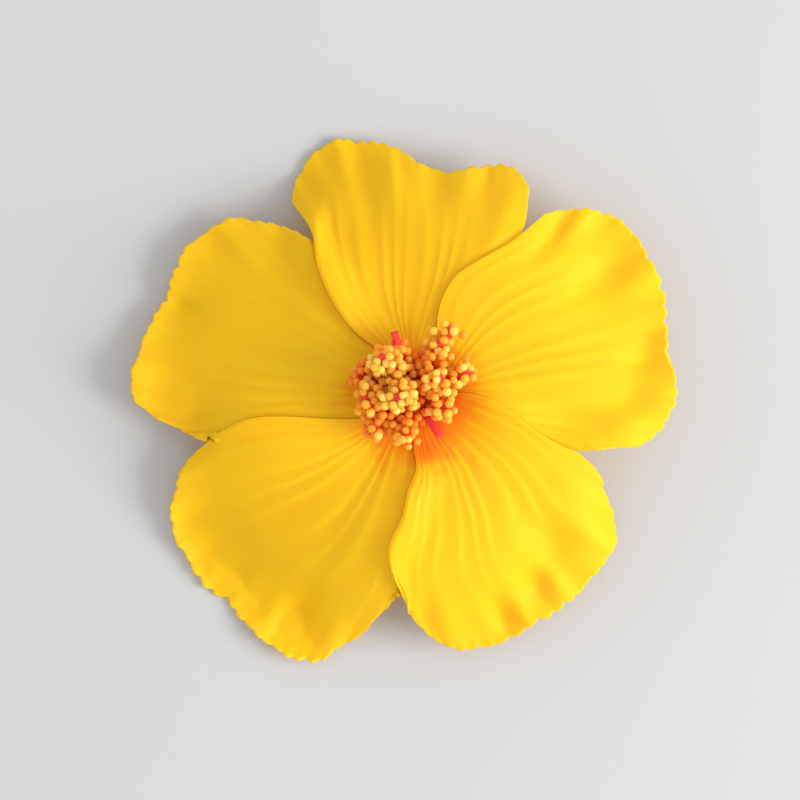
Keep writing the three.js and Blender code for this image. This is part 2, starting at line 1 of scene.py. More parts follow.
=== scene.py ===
"""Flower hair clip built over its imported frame: foam petals, beaded stamen, felt back and steel clip."""

from __future__ import annotations

import logging
import math
import random
from collections.abc import Sequence
from dataclasses import dataclass, field
from enum import Enum

import bmesh
import bpy
import numpy as np
from mathutils import Matrix, Vector, noise


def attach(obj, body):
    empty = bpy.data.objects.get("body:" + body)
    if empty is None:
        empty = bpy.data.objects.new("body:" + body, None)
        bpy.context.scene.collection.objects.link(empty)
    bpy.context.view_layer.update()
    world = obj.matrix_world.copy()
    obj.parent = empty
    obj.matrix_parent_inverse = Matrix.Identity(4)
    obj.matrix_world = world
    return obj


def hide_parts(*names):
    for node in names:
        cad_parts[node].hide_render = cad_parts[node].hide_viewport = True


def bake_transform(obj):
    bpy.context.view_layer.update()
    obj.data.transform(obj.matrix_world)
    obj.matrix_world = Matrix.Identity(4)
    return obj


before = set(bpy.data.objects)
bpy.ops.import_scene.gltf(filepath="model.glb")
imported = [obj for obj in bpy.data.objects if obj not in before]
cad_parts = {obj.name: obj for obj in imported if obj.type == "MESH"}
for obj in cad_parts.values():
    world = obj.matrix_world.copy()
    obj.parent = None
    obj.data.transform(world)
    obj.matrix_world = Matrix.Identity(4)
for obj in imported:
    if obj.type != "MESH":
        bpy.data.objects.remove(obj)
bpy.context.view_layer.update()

MM = 0.001
LOG = logging.getLogger("flower_hair_clip")

Colour = tuple[float, float, float, float]
Plan = Sequence[tuple[float, float]]


class Body(Enum):
    """The rigid bodies that pieces ride on."""

    FLOWER = "flower"
    LEVER = "lever"


class Slot(Enum):
    """The record's material slots."""

    YELLOW_FOAM = "yellow_foam"
    RED_FOAM = "red_foam"
    BEADS = "beads"
    FELT = "felt"
    HOT_GLUE = "hot_glue"
    STEEL = "steel"
    SPRING_WIRE = "spring_wire"


def srgb(red: int, green: int, blue: int) -> Colour:
    """Linear colour of an sRGB value.

    Args:
        red: 0 to 255.
        green: 0 to 255.
        blue: 0 to 255.

    Returns:
        Linear red, green, blue and an alpha of 1.
    """
    parts = [value / 255 for value in (red, green, blue)]
    linear = [part / 12.92 if part <= 0.04045 else ((part + 0.055) / 1.055) ** 2.4 for part in parts]
    return (linear[0], linear[1], linear[2], 1.0)


def smooth(low: float, high: float, value: np.ndarray | float) -> np.ndarray | float:
    """Smooth step from 0 at low to 1 at high.

    Args:
        low: Where the step starts.
        high: Where the step ends; may be below low for a falling step.
        value: Where to read it.

    Returns:
        The step's value, of the same shape as value.
    """
    part = np.clip((value - low) / (high - low), 0.0, 1.0)
    return part * part * (3 - 2 * part)


def soft_max(first: np.ndarray, second: np.ndarray, width: float) -> np.ndarray:
    """Larger of two heights, rounded over a width where they cross.

    Args:
        first: Heights of one surface.
        second: Heights of the other.
        width: How widely the crossing is rounded, in the heights' unit.

    Returns:
        The rounded heights.
    """
    return 0.5 * (first + second + np.sqrt((first - second) ** 2 + width ** 2))


# ---------------------------------------------------------------------------------------------- nodes


class Graph:
    """Adds and joins the nodes of one material or node group."""

    def __init__(self, tree: bpy.types.NodeTree) -> None:
        """Works on a node tree.

        Args:
            tree: The tree to fill.
        """
        self.tree = tree

    def node(self, kind: str, inputs: dict | None = None, **settings: object) -> bpy.types.Node:
        """Adds a node.

        Args:
            kind: Blender's name of the node type.
            inputs: Input name or number to a value or to the socket that feeds it.
            settings: The node's own properties.

        Returns:
            The node.
        """
        made = self.tree.nodes.new(kind)
        for key, value in settings.items():
            setattr(made, key, value)
        for key, value in (inputs or {}).items():
            if isinstance(value, bpy.types.NodeSocket):
                self.tree.links.new(value, made.inputs[key])
            else:
                made.inputs[key].default_value = value
        return made

    def math(
        self, operation: str, first: object, second: object = 0.0, clamp: bool = False
    ) -> bpy.types.NodeSocket:
        """Adds a Math node and returns its result.

        Args:
            operation: Blender's name of the operation.
            first: Value or socket.
            second: Value or socket.
            clamp: Whether to keep the result between 0 and 1.

        Returns:
            The result's socket.
        """
        made = self.node("ShaderNodeMath", {0: first, 1: second}, operation=operation, use_clamp=clamp)
        return made.outputs[0]

    def mix(self, factor: object, first: object, second: object, blend: str = "MIX") -> bpy.types.NodeSocket:
        """Mixes two colours.

        Args:
            factor: Share of the second colour.
            first: Colour or socket.
            second: Colour or socket.
            blend: Blender's name of the blend type.

        Returns:
            The mixed colour's socket.
        """
        inputs = {0: factor, 6: first, 7: second}
        return self.node("ShaderNodeMix", inputs, data_type="RGBA", blend_type=blend).outputs[2]

    def spread(
        self, value: object, low: float, high: float, to_low: float = 0.0, to_high: float = 1.0
    ) -> bpy.types.NodeSocket:
        """Maps one range of values to another, clamped.

        Args:
            value: Value or socket.
            low: Start of the range that is read.
            high: End of the range that is read.
            to_low: Result at low.
            to_high: Result at high.

        Returns:
            The result's socket.
        """
        made = self.node("ShaderNodeMapRange", {0: value, 1: low, 2: high, 3: to_low, 4: to_high})
        return made.outputs[0]

    def ramp(self, factor: object, stops: Sequence[tuple[float, Colour]]) -> bpy.types.NodeSocket:
        """Colour ramp.

        Args:
            factor: Place on the ramp, 0 to 1.
            stops: Places and colours.

        Returns:
            The colour's socket.
        """
        made = self.node("ShaderNodeValToRGB", {0: factor})
        elements = made.color_ramp.elements
        for place, _ in stops[1:-1]:
            elements.new(place)
        for element, (place, colour) in zip(elements, stops):
            element.position = place
            element.color = colour
        return made.outputs[0]

    def noise(
        self, vector: object, scale: float, detail: float = 3.0, roughness: float = 0.5
    ) -> bpy.types.NodeSocket:
        """Value noise.

        Args:
            vector: Coordinates.
            scale: Features per metre.
            detail: Octaves.
            roughness: Strength of the finer octaves.

        Returns:
            The noise value's socket.
        """
        inputs = {"Vector": vector, "Scale": scale, "Detail": detail, "Roughness": roughness}
        return self.node("ShaderNodeTexNoise", inputs).outputs[0]

    def place(self) -> bpy.types.NodeSocket:
        """Object coordinates, in metres."""
        return self.node("ShaderNodeTexCoord").outputs["Object"]

    def away_from(self, place: bpy.types.NodeSocket, centre: tuple[float, float]) -> bpy.types.NodeSocket:
        """Distance from an upright axis.

        Args:
            place: Coordinates, in metres.
            centre: Where the axis stands, in millimetres.

        Returns:
            The distance's socket, in millimetres.
        """
        flat = {0: place, 1: (1 / MM, 1 / MM, 0.0)}
        in_mm = self.node("ShaderNodeVectorMath", flat, operation="MULTIPLY").outputs[0]
        ends = {0: in_mm, 1: (*centre, 0.0)}
        offset = self.node("ShaderNodeVectorMath", ends, operation="SUBTRACT").outputs[0]
        return self.node("ShaderNodeVectorMath", {0: offset}, operation="LENGTH").outputs["Value"]

    def attribute(self, name: str) -> bpy.types.NodeSocket:
        """Value of a mesh attribute."""
        return self.node("ShaderNodeAttribute", attribute_name=name).outputs["Fac"]

    def group(self, tree: bpy.types.NodeTree, inputs: dict) -> bpy.types.Node:
        """Places a shared node group.

        Args:
            tree: The group.
            inputs: Input name to a value or to the socket that feeds it.

        Returns:
            The group's node.
        """
        made = self.node("ShaderNodeGroup")
        made.node_tree = tree
        for key, value in inputs.items():
            if isinstance(value, bpy.types.NodeSocket):
                self.tree.links.new(value, made.inputs[key])
            else:
                made.inputs[key].default_value = value
        return made


def new_group(
    name: str, inputs: dict[str, str], outputs: dict[str, str]
) -> tuple[bpy.types.NodeTree, Graph, dict]:
    """Starts a shared node group.

    Args:
        name: The group's name.
        inputs: Socket name to socket type.
        outputs: Socket name to socket type.

    Returns:
        The tree, its graph, and the input and output nodes under "in" and "out".
    """
    tree = bpy.data.node_groups.new(name, "ShaderNodeTree")
    for label, kind in inputs.items():
        tree.interface.new_socket(name=label, in_out="INPUT", socket_type=kind)
    for label, kind in outputs.items():
        tree.interface.new_socket(name=label, in_out="OUTPUT", socket_type=kind)
    graph = Graph(tree)
    ends = {"in": graph.node("NodeGroupInput"), "out": graph.node("NodeGroupOutput")}
    return tree, graph, ends


@dataclass
class SharedEffects:
    """Node groups that several finishes use."""

    foam_skin: bpy.types.NodeTree = field(init=False)
    drift: bpy.types.NodeTree = field(init=False)
    edge_rub: bpy.types.NodeTree = field(init=False)
    dust: bpy.types.NodeTree = field(init=False)

    def __post_init__(self) -> None:
        """Builds every group once."""
        self.foam_skin = self.build_foam_skin()
        self.drift = self.build_drift()
        self.edge_rub = self.build_edge_rub()
        self.dust = self.build_dust()

    def build_foam_skin(self) -> bpy.types.NodeTree:
        """Fine closed cells of moulded foam, as a height and a mask of open pores."""
        tree, graph, ends = new_group(
            "foam_skin",
            {"Vector": "NodeSocketVector", "Cells": "NodeSocketFloat"},
            {"Height": "NodeSocketFloat", "Pores": "NodeSocketFloat"},
        )
        vector, cells = ends["in"].outputs["Vector"], ends["in"].outputs["Cells"]
        voronoi = graph.node("ShaderNodeTexVoronoi", {"Vector": vector, "Scale": cells}, feature="SMOOTH_F1")
        coarse = graph.node(
            "ShaderNodeTexNoise",
            {"Vector": vector, "Scale": graph.math("MULTIPLY", cells, 0.31), "Detail": 4.0},
        ).outputs[0]
        dome = graph.math("SUBTRACT", 1.0, voronoi.outputs["Distance"])
        height = graph.math("ADD", graph.math("MULTIPLY", dome, 0.55), graph.math("MULTIPLY", coarse, 0.9))
        pores = graph.spread(graph.math("MULTIPLY", voronoi.outputs["Distance"], coarse), 0.30, 0.44)
        graph.tree.links.new(height, ends["out"].inputs["Height"])
        graph.tree.links.new(pores, ends["out"].inputs["Pores"])
        return tree

    def build_drift(self) -> bpy.types.NodeTree:
        """Slow drift between two colours over a surface."""
        tree, graph, ends = new_group(
            "colour_drift",
            {"Vector": "NodeSocketVector", "Base": "NodeSocketColor", "Drift": "NodeSocketColor",
             "Scale": "NodeSocketFloat"},
            {"Colour": "NodeSocketColor"},
        )
        sockets = ends["in"].outputs
        cloud = graph.node(
            "ShaderNodeTexNoise", {"Vector": sockets["Vector"], "Scale": sockets["Scale"], "Detail": 3.0}
        ).outputs[0]
        share = graph.spread(cloud, 0.35, 0.68)
        colour = graph.mix(share, sockets["Base"], sockets["Drift"])
        graph.tree.links.new(colour, ends["out"].inputs["Colour"])
        return tree

    def build_edge_rub(self) -> bpy.types.NodeTree:
        """Mask of rubbed outside edges, broken up by fine noise."""
        tree, graph, ends = new_group(
            "edge_rub",
            {"Vector": "NodeSocketVector", "Grain": "NodeSocketFloat"},
            {"Rub": "NodeSocketFloat"},
        )
        sockets = ends["in"].outputs
        ridge = graph.spread(graph.node("ShaderNodeNewGeometry").outputs["Pointiness"], 0.505, 0.56)
        grain = graph.node(
            "ShaderNodeTexNoise", {"Vector": sockets["Vector"], "Scale": sockets["Grain"], "Detail": 5.0}
        ).outputs[0]
        rub = graph.math("MULTIPLY", ridge, graph.spread(grain, 0.38, 0.62, 0.25, 1.0), clamp=True)
        graph.tree.links.new(rub, ends["out"].inputs["Rub"])
        return tree

    def build_dust(self) -> bpy.types.NodeTree:
        """Sparse pale lint and dust specks, as a mask."""
        tree, graph, ends = new_group(
            "lint",
            {"Vector": "NodeSocketVector", "Specks": "NodeSocketFloat"},
            {"Mask": "NodeSocketFloat"},
        )
        sockets = ends["in"].outputs
        cells = graph.node("ShaderNodeTexVoronoi", {"Vector": sockets["Vector"], "Scale": sockets["Specks"]})
        spot = graph.spread(cells.outputs["Distance"], 0.12, 0.04)
        pick = graph.node("ShaderNodeSeparateColor", {0: cells.outputs["Color"]}).outputs[0]
        chosen = graph.spread(pick, 0.86, 0.9)
        graph.tree.links.new(graph.math("MULTIPLY", spot, chosen, clamp=True), ends["out"].inputs["Mask"])
        return tree


def new_material(name: str) -> tuple[bpy.types.Material, Graph, bpy.types.Node]:
    """Starts a material.

    Args:
        name: The material's name.

    Returns:
        The material, its graph and its Principled shader.
    """
    made = bpy.data.materials.new(name)
    made.use_nodes = True
    shader = made.node_tree.nodes["Principled BSDF"]
    return made, Graph(made.node_tree), shader


def let_light_through(
    graph: Graph, shader: bpy.types.Node, colour: bpy.types.NodeSocket, share: float
) -> None:
    """Mixes a share of light that passes through the surface into a material.

    Args:
        graph: The material's graph.
        shader: Its Principled shader.
        colour: Colour that the light takes on.
        share: Share of the surface that lets light through.
    """
    through = graph.node("ShaderNodeBsdfTranslucent", {"Color": colour})
    mixed = graph.node("ShaderNodeMixShader", {0: share, 1: shader.outputs[0], 2: through.outputs[0]})
    output = graph.tree.nodes["Material Output"]
    graph.tree.links.new(mixed.outputs[0], output.inputs["Surface"])


def join(graph: Graph, shader: bpy.types.Node, sockets: dict[str, object]) -> None:
    """Sets or links the shader's sockets.

    Args:
        graph: The material's graph.
        shader: Its Principled shader.
        sockets: Socket name to a value or to the socket that feeds it.
    """
    for key, value in sockets.items():
        if isinstance(value, bpy.types.NodeSocket):
            graph.tree.links.new(value, shader.inputs[key])
        else:
            shader.inputs[key].default_value = value


@dataclass(frozen=True)
class PetalFoamFinish:
    """Heat-shaped yellow foam that turns orange towards the throat, with painted shade in its grooves and
    pores and painted highlight on its crests and rims.
    """

    yellow: Colour = srgb(255, 212, 9)
    warm: Colour = srgb(255, 206, 6)
    # groove: painted shade, a deeper orange for the hollows of the ribs and crimps
    groove: Colour = srgb(253, 193, 2)
    # crest: painted highlight, a lighter yellow for the rib crests
    crest: Colour = srgb(255, 213, 12)
    # edge: painted highlight, a paler yellow along the thin rims as if light shone through them
    edge: Colour = srgb(255, 218, 44)
    throat: tuple[tuple[float, Colour], ...] = (
        (0.0, srgb(250, 120, 4)),
        (0.22, srgb(252, 146, 5)),
        (0.48, srgb(254, 174, 6)),
        (0.74, srgb(255, 201, 7)),
        (1.0, srgb(255, 212, 9)),
    )
    throat_mm: tuple[float, float] = (3.4, -1.4)
    throat_reach_mm: tuple[float, float] = (5.0, 18.0)
    translucency: float = 0.42
    passed: Colour = (1.0, 0.88, 0.42, 1.0)

    def material(self, effects: SharedEffects) -> bpy.types.Material:
        """Builds the material.

        Args:
            effects: The shared node groups.

        Returns:
            The petals' material.
        """
        made, graph, shader = new_material("petal_foam")
        place = graph.place()
        radius = graph.away_from(place, self.throat_mm)
        wander = graph.spread(graph.noise(place, 190.0, 2.0), 0.3, 0.7, -3.0, 3.0)
        relief = graph.attribute("relief")
        # painted shade: the throat's orange reaches further out along the grooves and less far on the crests
        groove_shade_reach = graph.spread(relief, 0.2, 0.8, -1.6, 1.6)
        reach = graph.math("ADD", graph.math("ADD", radius, wander), groove_shade_reach)
        tint = graph.ramp(graph.spread(reach, *self.throat_reach_mm), self.throat)
        drift = graph.group(
            effects.drift, {"Vector": place, "Base": self.yellow, "Drift": self.warm, "Scale": 55.0}
        ).outputs[0]
        outer = graph.spread(reach, self.throat_reach_mm[1] - 7, self.throat_reach_mm[1])
        colour = graph.mix(outer, tint, drift)
        # painted shade in the grooves, where the relief is low
        colour = graph.mix(graph.spread(relief, 0.48, 0.15, 0.0, 0.5), colour, self.groove)
        # painted highlight on the rib crests, where the relief is high
        crest_highlight = graph.math("MULTIPLY", graph.spread(relief, 0.55, 0.9, 0.0, 0.6), outer)
        colour = graph.mix(crest_highlight, colour, self.crest)
        skin = graph.group(effects.foam_skin, {"Vector": place, "Cells": 3600.0})
        # painted shade in the open pores of the foam skin, in the groove shade colour
        colour = graph.mix(graph.math("MULTIPLY", skin.outputs["Pores"], 0.10), colour, self.groove)
        lint = graph.group(effects.dust, {"Vector": place, "Specks": 520.0}).outputs[0]
        colour = graph.mix(graph.math("MULTIPLY", lint, 0.22), colour, srgb(255, 248, 205))
        # painted highlight along the rims, read from the mesh's rim attribute
        colour = graph.mix(graph.math("MULTIPLY", graph.attribute("rim"), 0.75), colour, self.edge)
        gloss = graph.spread(graph.noise(place, 900.0, 4.0), 0.3, 0.7, 0.58, 0.72)
        bump = graph.node(
            "ShaderNodeBump", {"Strength": 0.16, "Distance": 0.00006, "Height": skin.outputs["Height"]}
        )
        join(graph, shader, {
            "Base Color": colour,
            "Roughness": gloss,
            "Normal": bump.outputs[0],
            "Subsurface Weight": 0.3,
            "Subsurface Radius": (1.0, 0.6, 0.05),
            "Subsurface Scale": 0.0011,
            "Specular IOR Level": 0.3,
        })
        let_light_through(graph, shader, graph.mix(0.5, colour, self.passed), self.translucency)
        return made


@dataclass(frozen=True)
class CutFoamFinish:
    """Die-cut foam with open cells on its cut faces, the cells darkened as painted shade."""

    name: str
    base: Colour
    shade: Colour
    # pore: painted shade, a darker colour for the open cells
    pore_shade: Colour
    rubbed: Colour
    cells: float = 2600.0
    glow: float = 0.15

    def material(self, effects: SharedEffects) -> bpy.types.Material:
        """Builds the material.

        Args:
            effects: The shared node groups.

        Returns:
            The material.
        """
        made, graph, shader = new_material(self.name)
        place = graph.place()
        colour = graph.group(
            effects.drift, {"Vector": place, "Base": self.base, "Drift": self.shade, "Scale": 260.0}
        ).outputs[0]
        skin = graph.group(effects.foam_skin, {"Vector": place, "Cells": self.cells})
        # painted shade in the open cells
        colour = graph.mix(graph.math("MULTIPLY", skin.outputs["Pores"], 0.55), colour, self.pore_shade)
        rub = graph.group(effects.edge_rub, {"Vector": place, "Grain": 1800.0}).outputs[0]
        colour = graph.mix(graph.math("MULTIPLY", rub, 0.25), colour, self.rubbed)
        bump = graph.node(
            "ShaderNodeBump", {"Strength": 0.45, "Distance": 0.00012, "Height": skin.outputs["Height"]}
        )
        join(graph, shader, {
            "Base Color": colour,
            "Roughness": graph.spread(graph.noise(place, 1400.0), 0.3, 0.7, 0.68, 0.86),
            "Normal": bump.outputs[0],
            "Subsurface Weight": self.glow,
            "Subsurface Radius": (1.0, 0.3, 0.2),
            "Subsurface Scale": 0.0006,
            "Specular IOR Level": 0.3,
        })
        return made


@dataclass(frozen=True)
class BeadFinish:
    """Dyed round beads, from orange to pale yellow, with a deeper orange painted as shade on the low beads
    near the stamen's middle, where other beads bury them.
    """

    tones: tuple[tuple[float, Colour], ...] = (
        (0.0, srgb(253, 150, 30)),
        (0.3, srgb(255, 176, 44)),
        (0.62, srgb(255, 197, 60)),
        (0.86, srgb(255, 214, 82)),
        (1.0, srgb(255, 228, 112)),
    )
    translucency: float = 0.38
    # painted shade: a deeper orange for the low beads near the middle of the stamen
    buried_shade: Colour = srgb(255, 132, 46)
    buried_shade_share: float = 0.7
    stamen_mm: tuple[float, float] = (2.0, 1.4)
    exposed_mm: tuple[float, float] = (32.0, 26.0)
    exposed_slope: float = 0.6

    def material(self, effects: SharedEffects) -> bpy.types.Material:
        """Builds the material.

        Args:
            effects: The shared node groups.

        Returns:
            The beads' material.
        """
        made, graph, shader = new_material("pollen_beads")
        place = graph.place()
        uneven = graph.spread(graph.noise(place, 700.0), 0.3, 0.7, -0.12, 0.12)
        # the tone attribute holds random tone plus painted light on the higher and right-hand beads
        colour = graph.ramp(graph.math("ADD", graph.attribute("tone_and_light"), uneven), self.tones)
        # painted shade: beads that sit low and near the stamen's middle turn deeper orange
        height = graph.math("MULTIPLY", graph.node("ShaderNodeSeparateXYZ", {0: place}).outputs["Z"], 1 / MM)
        spread_out = graph.math("MULTIPLY", graph.away_from(place, self.stamen_mm), self.exposed_slope)
        exposure = graph.math("ADD", height, spread_out)
        painted_shade = graph.spread(exposure, *self.exposed_mm, 0.0, self.buried_shade_share)
        colour = graph.mix(painted_shade, colour, self.buried_shade)
        film = graph.group(effects.drift, {
            "Vector": place, "Base": (1.0, 1.0, 1.0, 1.0), "Drift": (1.0, 0.88, 0.72, 1.0), "Scale": 480.0,
        }).outputs[0]
        colour = graph.mix(0.35, colour, film, "MULTIPLY")
        skin = graph.group(effects.foam_skin, {"Vector": place, "Cells": 5200.0})
        bump = graph.node(
            "ShaderNodeBump", {"Strength": 0.22, "Distance": 0.00005, "Height": skin.outputs["Height"]}
        )
        join(graph, shader, {
            "Base Color": colour,
            "Roughness": graph.spread(graph.noise(place, 950.0), 0.3, 0.7, 0.36, 0.58),
            "Normal": bump.outputs[0],
            "Subsurface Weight": 0.35,
            "Subsurface Radius": (1.0, 0.45, 0.12),
            "Subsurface Scale": 0.0009,
            "Specular IOR Level": 0.4,
        })
        let_light_through(graph, shader, colour, self.translucency)
        return made


@dataclass(frozen=True)
class FeltFinish:
    """Pressed cream felt with loose fibres."""

    base: Colour = srgb(240, 233, 214)
    shade: Colour = srgb(226, 216, 192)

    def material(self, effects: SharedEffects) -> bpy.types.Material:
        """Builds the material.

        Args:
            effects: The shared node groups.

        Returns:
            The felt's material.
        """
        made, graph, shader = new_material("cream_felt")
        place = graph.place()
        waves = {"Vector": place, "Scale": 260.0, "Detail": 2.0}
        bend = graph.node("ShaderNodeTexNoise", waves).outputs["Color"]
        curl = graph.node("ShaderNodeVectorMath", {0: bend, 3: 0.0035}, operation="SCALE").outputs[0]
        path = graph.node("ShaderNodeVectorMath", {0: place, 1: curl}, operation="ADD").outputs[0]
        across = graph.node("ShaderNodeMapping", {"Vector": path, "Scale": (2600.0, 320.0, 900.0)}).outputs[0]
        along = graph.node("ShaderNodeMapping", {"Vector": path, "Scale": (300.0, 2400.0, 900.0)}).outputs[0]
        fibre = graph.math("MAXIMUM", graph.noise(across, 1.0, 3.0), graph.noise(along, 1.0, 3.0))
        colour = graph.group(
            effects.drift, {"Vector": place, "Base": self.base, "Drift": self.shade, "Scale": 180.0}
        ).outputs[0]
        colour = graph.mix(graph.spread(fibre, 0.5, 0.72, 0.0, 0.4), colour, srgb(255, 252, 240))
        lint = graph.group(effects.dust, {"Vector": place, "Specks": 600.0}).outputs[0]
        colour = graph.mix(graph.math("MULTIPLY", lint, 0.35), colour, srgb(170, 150, 110))
        bump = graph.node("ShaderNodeBump", {"Strength": 0.7, "Distance": 0.00025, "Height": fibre})
        join(graph, shader, {
            "Base Color": colour,
            "Roughness": graph.spread(fibre, 0.4, 0.7, 0.98, 0.86),
            "Normal": bump.outputs[0],
            "Sheen Weight": 0.25,
            "Specular IOR Level": 0.15,
        })
        return made


@dataclass(frozen=True)
class HotGlueFinish:
    """Set hot-melt glue: milky, with small bubbles and a waxy shine."""

    base: Colour = srgb(236, 226, 198)
    shade: Colour = srgb(222, 206, 164)

    def material(self, effects: SharedEffects) -> bpy.types.Material:
        """Builds the material.

        Args:
            effects: The shared node groups.

        Returns:
            The glue's material.
        """
        made, graph, shader = new_material("hot_glue")
        place = graph.place()
        colour = graph.group(
            effects.drift, {"Vector": place, "Base": self.base, "Drift": self.shade, "Scale": 240.0}
        ).outputs[0]
        bubble = graph.node("ShaderNodeTexVoronoi", {"Vector": place, "Scale": 1100.0}).outputs["Distance"]
        colour = graph.mix(graph.spread(bubble, 0.2, 0.05, 0.0, 0.5), colour, srgb(250, 246, 232))
        waves = graph.noise(place, 420.0, 2.0)
        bump = graph.node("ShaderNodeBump", {"Strength": 0.35, "Distance": 0.0002, "Height": waves})
        join(graph, shader, {
            "Base Color": colour,
            "Roughness": graph.spread(waves, 0.3, 0.7, 0.22, 0.42),
            "Normal": bump.outputs[0],
            "Subsurface Weight": 0.4,
            "Subsurface Radius": (1.0, 0.8, 0.5),
            "Subsurface Scale": 0.001,
            "Coat Weight": 0.2,
        })
        return made


@dataclass(frozen=True)
class SteelFinish:
    """Rolled and plated steel with brushing along X, fine scratches and rubbed edges."""

    name: str
    base: Colour = (0.62, 0.63, 0.65, 1.0)
    dull: Colour = (0.47, 0.48, 0.50, 1.0)
    bright: Colour = (0.86, 0.87, 0.88, 1.0)
    brushing: tuple[float, float, float] = (60.0, 5200.0, 2600.0)
    roughness: tuple[float, float] = (0.20, 0.36)

    def material(self, effects: SharedEffects) -> bpy.types.Material:
        """Builds the material.

        Args:
            effects: The shared node groups.

        Returns:
            The metal's material.
        """
        made, graph, shader = new_material(self.name)
        place = graph.place()
        stretched = graph.node("ShaderNodeMapping", {"Vector": place, "Scale": self.brushing}).outputs[0]
        lines = graph.noise(stretched, 1.0, 4.0)
        stain = graph.spread(graph.noise(place, 120.0, 4.0, 0.65), 0.42, 0.7)
        colour = graph.group(
            effects.drift, {"Vector": place, "Base": self.base, "Drift": self.dull, "Scale": 320.0}
        ).outputs[0]
        rub = graph.group(effects.edge_rub, {"Vector": place, "Grain": 2400.0}).outputs[0]
        colour = graph.mix(rub, colour, self.bright)
        colour = graph.mix(graph.math("MULTIPLY", stain, 0.14), colour, (0.33, 0.31, 0.28, 1.0))
        brushed = graph.spread(lines, 0.3, 0.7, *self.roughness)
        rough = graph.math("ADD", brushed, graph.math("MULTIPLY", stain, 0.16))
        turned = graph.node("ShaderNodeMapping", {
            "Vector": place, "Rotation": (0.3, 0.2, 0.7), "Scale": (90.0, 3800.0, 900.0),
        })
        scratch = graph.spread(graph.noise(turned.outputs[0], 1.0, 2.0), 0.69, 0.73)
        height = graph.math("SUBTRACT", graph.math("MULTIPLY", lines, 0.35), scratch)
        bump = graph.node("ShaderNodeBump", {"Strength": 0.25, "Distance": 0.00004, "Height": height})
        join(graph, shader, {
            "Base Color": colour,
            "Metallic": 1.0,
            "Roughness": rough,
            "Normal": bump.outputs[0],
        })
        return made


@dataclass(frozen=True)
class TableFinish:
    """Plain pale table."""

    base: Colour = srgb(184, 183, 182)

    def material(self) -> bpy.types.Material:
        """Builds the material."""
        made, graph, shader = new_material("pale_table")
        join(graph, shader, {"Base Color": self.base, "Roughness": 0.9, "Specular IOR Level": 0.15})
        return made


# --------------------------------------------------------------------------------------------- meshes


def finish_piece(
    shape: bmesh.types.BMesh,
    name: str,
    body: Body,
    material: bpy.types.Material,
    nodes: Sequence[str] = (),
) -> bpy.types.Object:
    """Turns a bmesh into a smooth-shaded piece on its body.

    Args:
        shape: The mesh, in metres; it is freed.
        name: The piece's name.
        body: What it rides on.
        material: Its finish.
        nodes: The CAD nodes that it stands for.

    Returns:
        The piece.
    """
    mesh = bpy.data.meshes.new(name)
    for face in shape.faces:
        face.smooth = True
    shape.to_mesh(mesh)
    shape.free()
    piece = bpy.data.objects.new(name, mesh)
    bpy.context.scene.collection.objects.link(piece)
    mesh.materials.append(material)
    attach(piece, body.value)
    if nodes:
        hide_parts(*nodes)
    LOG.info("%s: %d faces on %s", name, len(mesh.polygons), body.value)
    return piece


def add_bevel(piece: bpy.types.Object, width_mm: float, segments: int = 2, angle: float = 35.0) -> None:
    """Rounds a piece's sharp edges with a Bevel modifier.

    Args:
        piece: The piece.
        width_mm: Width of the rounding.
        segments: Faces across it.
        angle: Smallest angle, in degrees, that counts as sharp.
    """
    bevel = piece.modifiers.new("edge_rounding", "BEVEL")
    bevel.width = width_mm * MM
    bevel.segments = segments
    bevel.limit_method = "ANGLE"
    bevel.angle_limit = math.radians(angle)
    bevel.harden_normals = True


def along(path: Sequence[Vector], first_side: Vector) -> list[tuple[Vector, Vector, Vector]]:
    """Frames carried along a path without twist.

    Args:
        path: The points.
        first_side: Rough direction of the section's first axis at the start.

    Returns:
        For each point its place and the section's two axes.
    """
    frames = []
    side = first_side.copy()
    for i, point in enumerate(path):
        ahead = path[min(i + 1, len(path) - 1)] - path[max(i - 1, 0)]
        ahead.normalize()
        side = (side - ahead * side.dot(ahead)).normalized()
        frames.append((point, side.copy(), ahead.cross(side)))
    return frames


def sweep(
    shape: bmesh.types.BMesh,
    section: Plan,
    frames: Sequence[tuple[Vector, Vector, Vector]],
    scales: Sequence[float] | None = None,
) -> list[bmesh.types.BMVert]:
    """Extrudes a section step by step along frames and closes both ends.

    Args:
        shape: The mesh to add to.
        section: The section's points, in millimetres.
        frames: Place and axes of each step, in millimetres.
        scales: Size of the section at each step.

    Returns:
        The new vertices.
    """
    def ring(step: int) -> list[Vector]:
        point, side, up = frames[step]
        size = scales[step] if scales else 1.0
        return [(point + side * (x * size) + up * (y * size)) * MM for x, y in section]

    first = [shape.verts.new(place) for place in ring(0)]
    face = shape.faces.new(first)
    made = list(first)
    for step in range(1, len(frames)):
        grown = bmesh.ops.extrude_face_region(shape, geom=[face])["geom"]
        face = next(part for part in grown if isinstance(part, bmesh.types.BMFace))
        corners = [loop.vert for loop in face.loops]
        start = min(range(len(corners)), key=lambda k: (corners[k].co - ring(step - 1)[0] * 1.0).length)
        places = ring(step)
        ahead = ring(step - 1)
        turned = corners[start:] + corners[:start]
        if (turned[1].co - ahead[1]).length > (turned[1].co - ahead[-1]).length:
            turned = [turned[0], *reversed(turned[1:])]
        for corner, place in zip(turned, places):
            corner.co = place
        made.extend(corners)
    return made


def close_and_orient(shape: bmesh.types.BMesh) -> None:
    """Merges doubles and turns every face outwards."""
    bmesh.ops.remove_doubles(shape, verts=shape.verts, dist=1e-7)
    bmesh.ops.recalc_face_normals(shape, faces=shape.faces)


# --------------------------------------------------------------------------------------------- petals


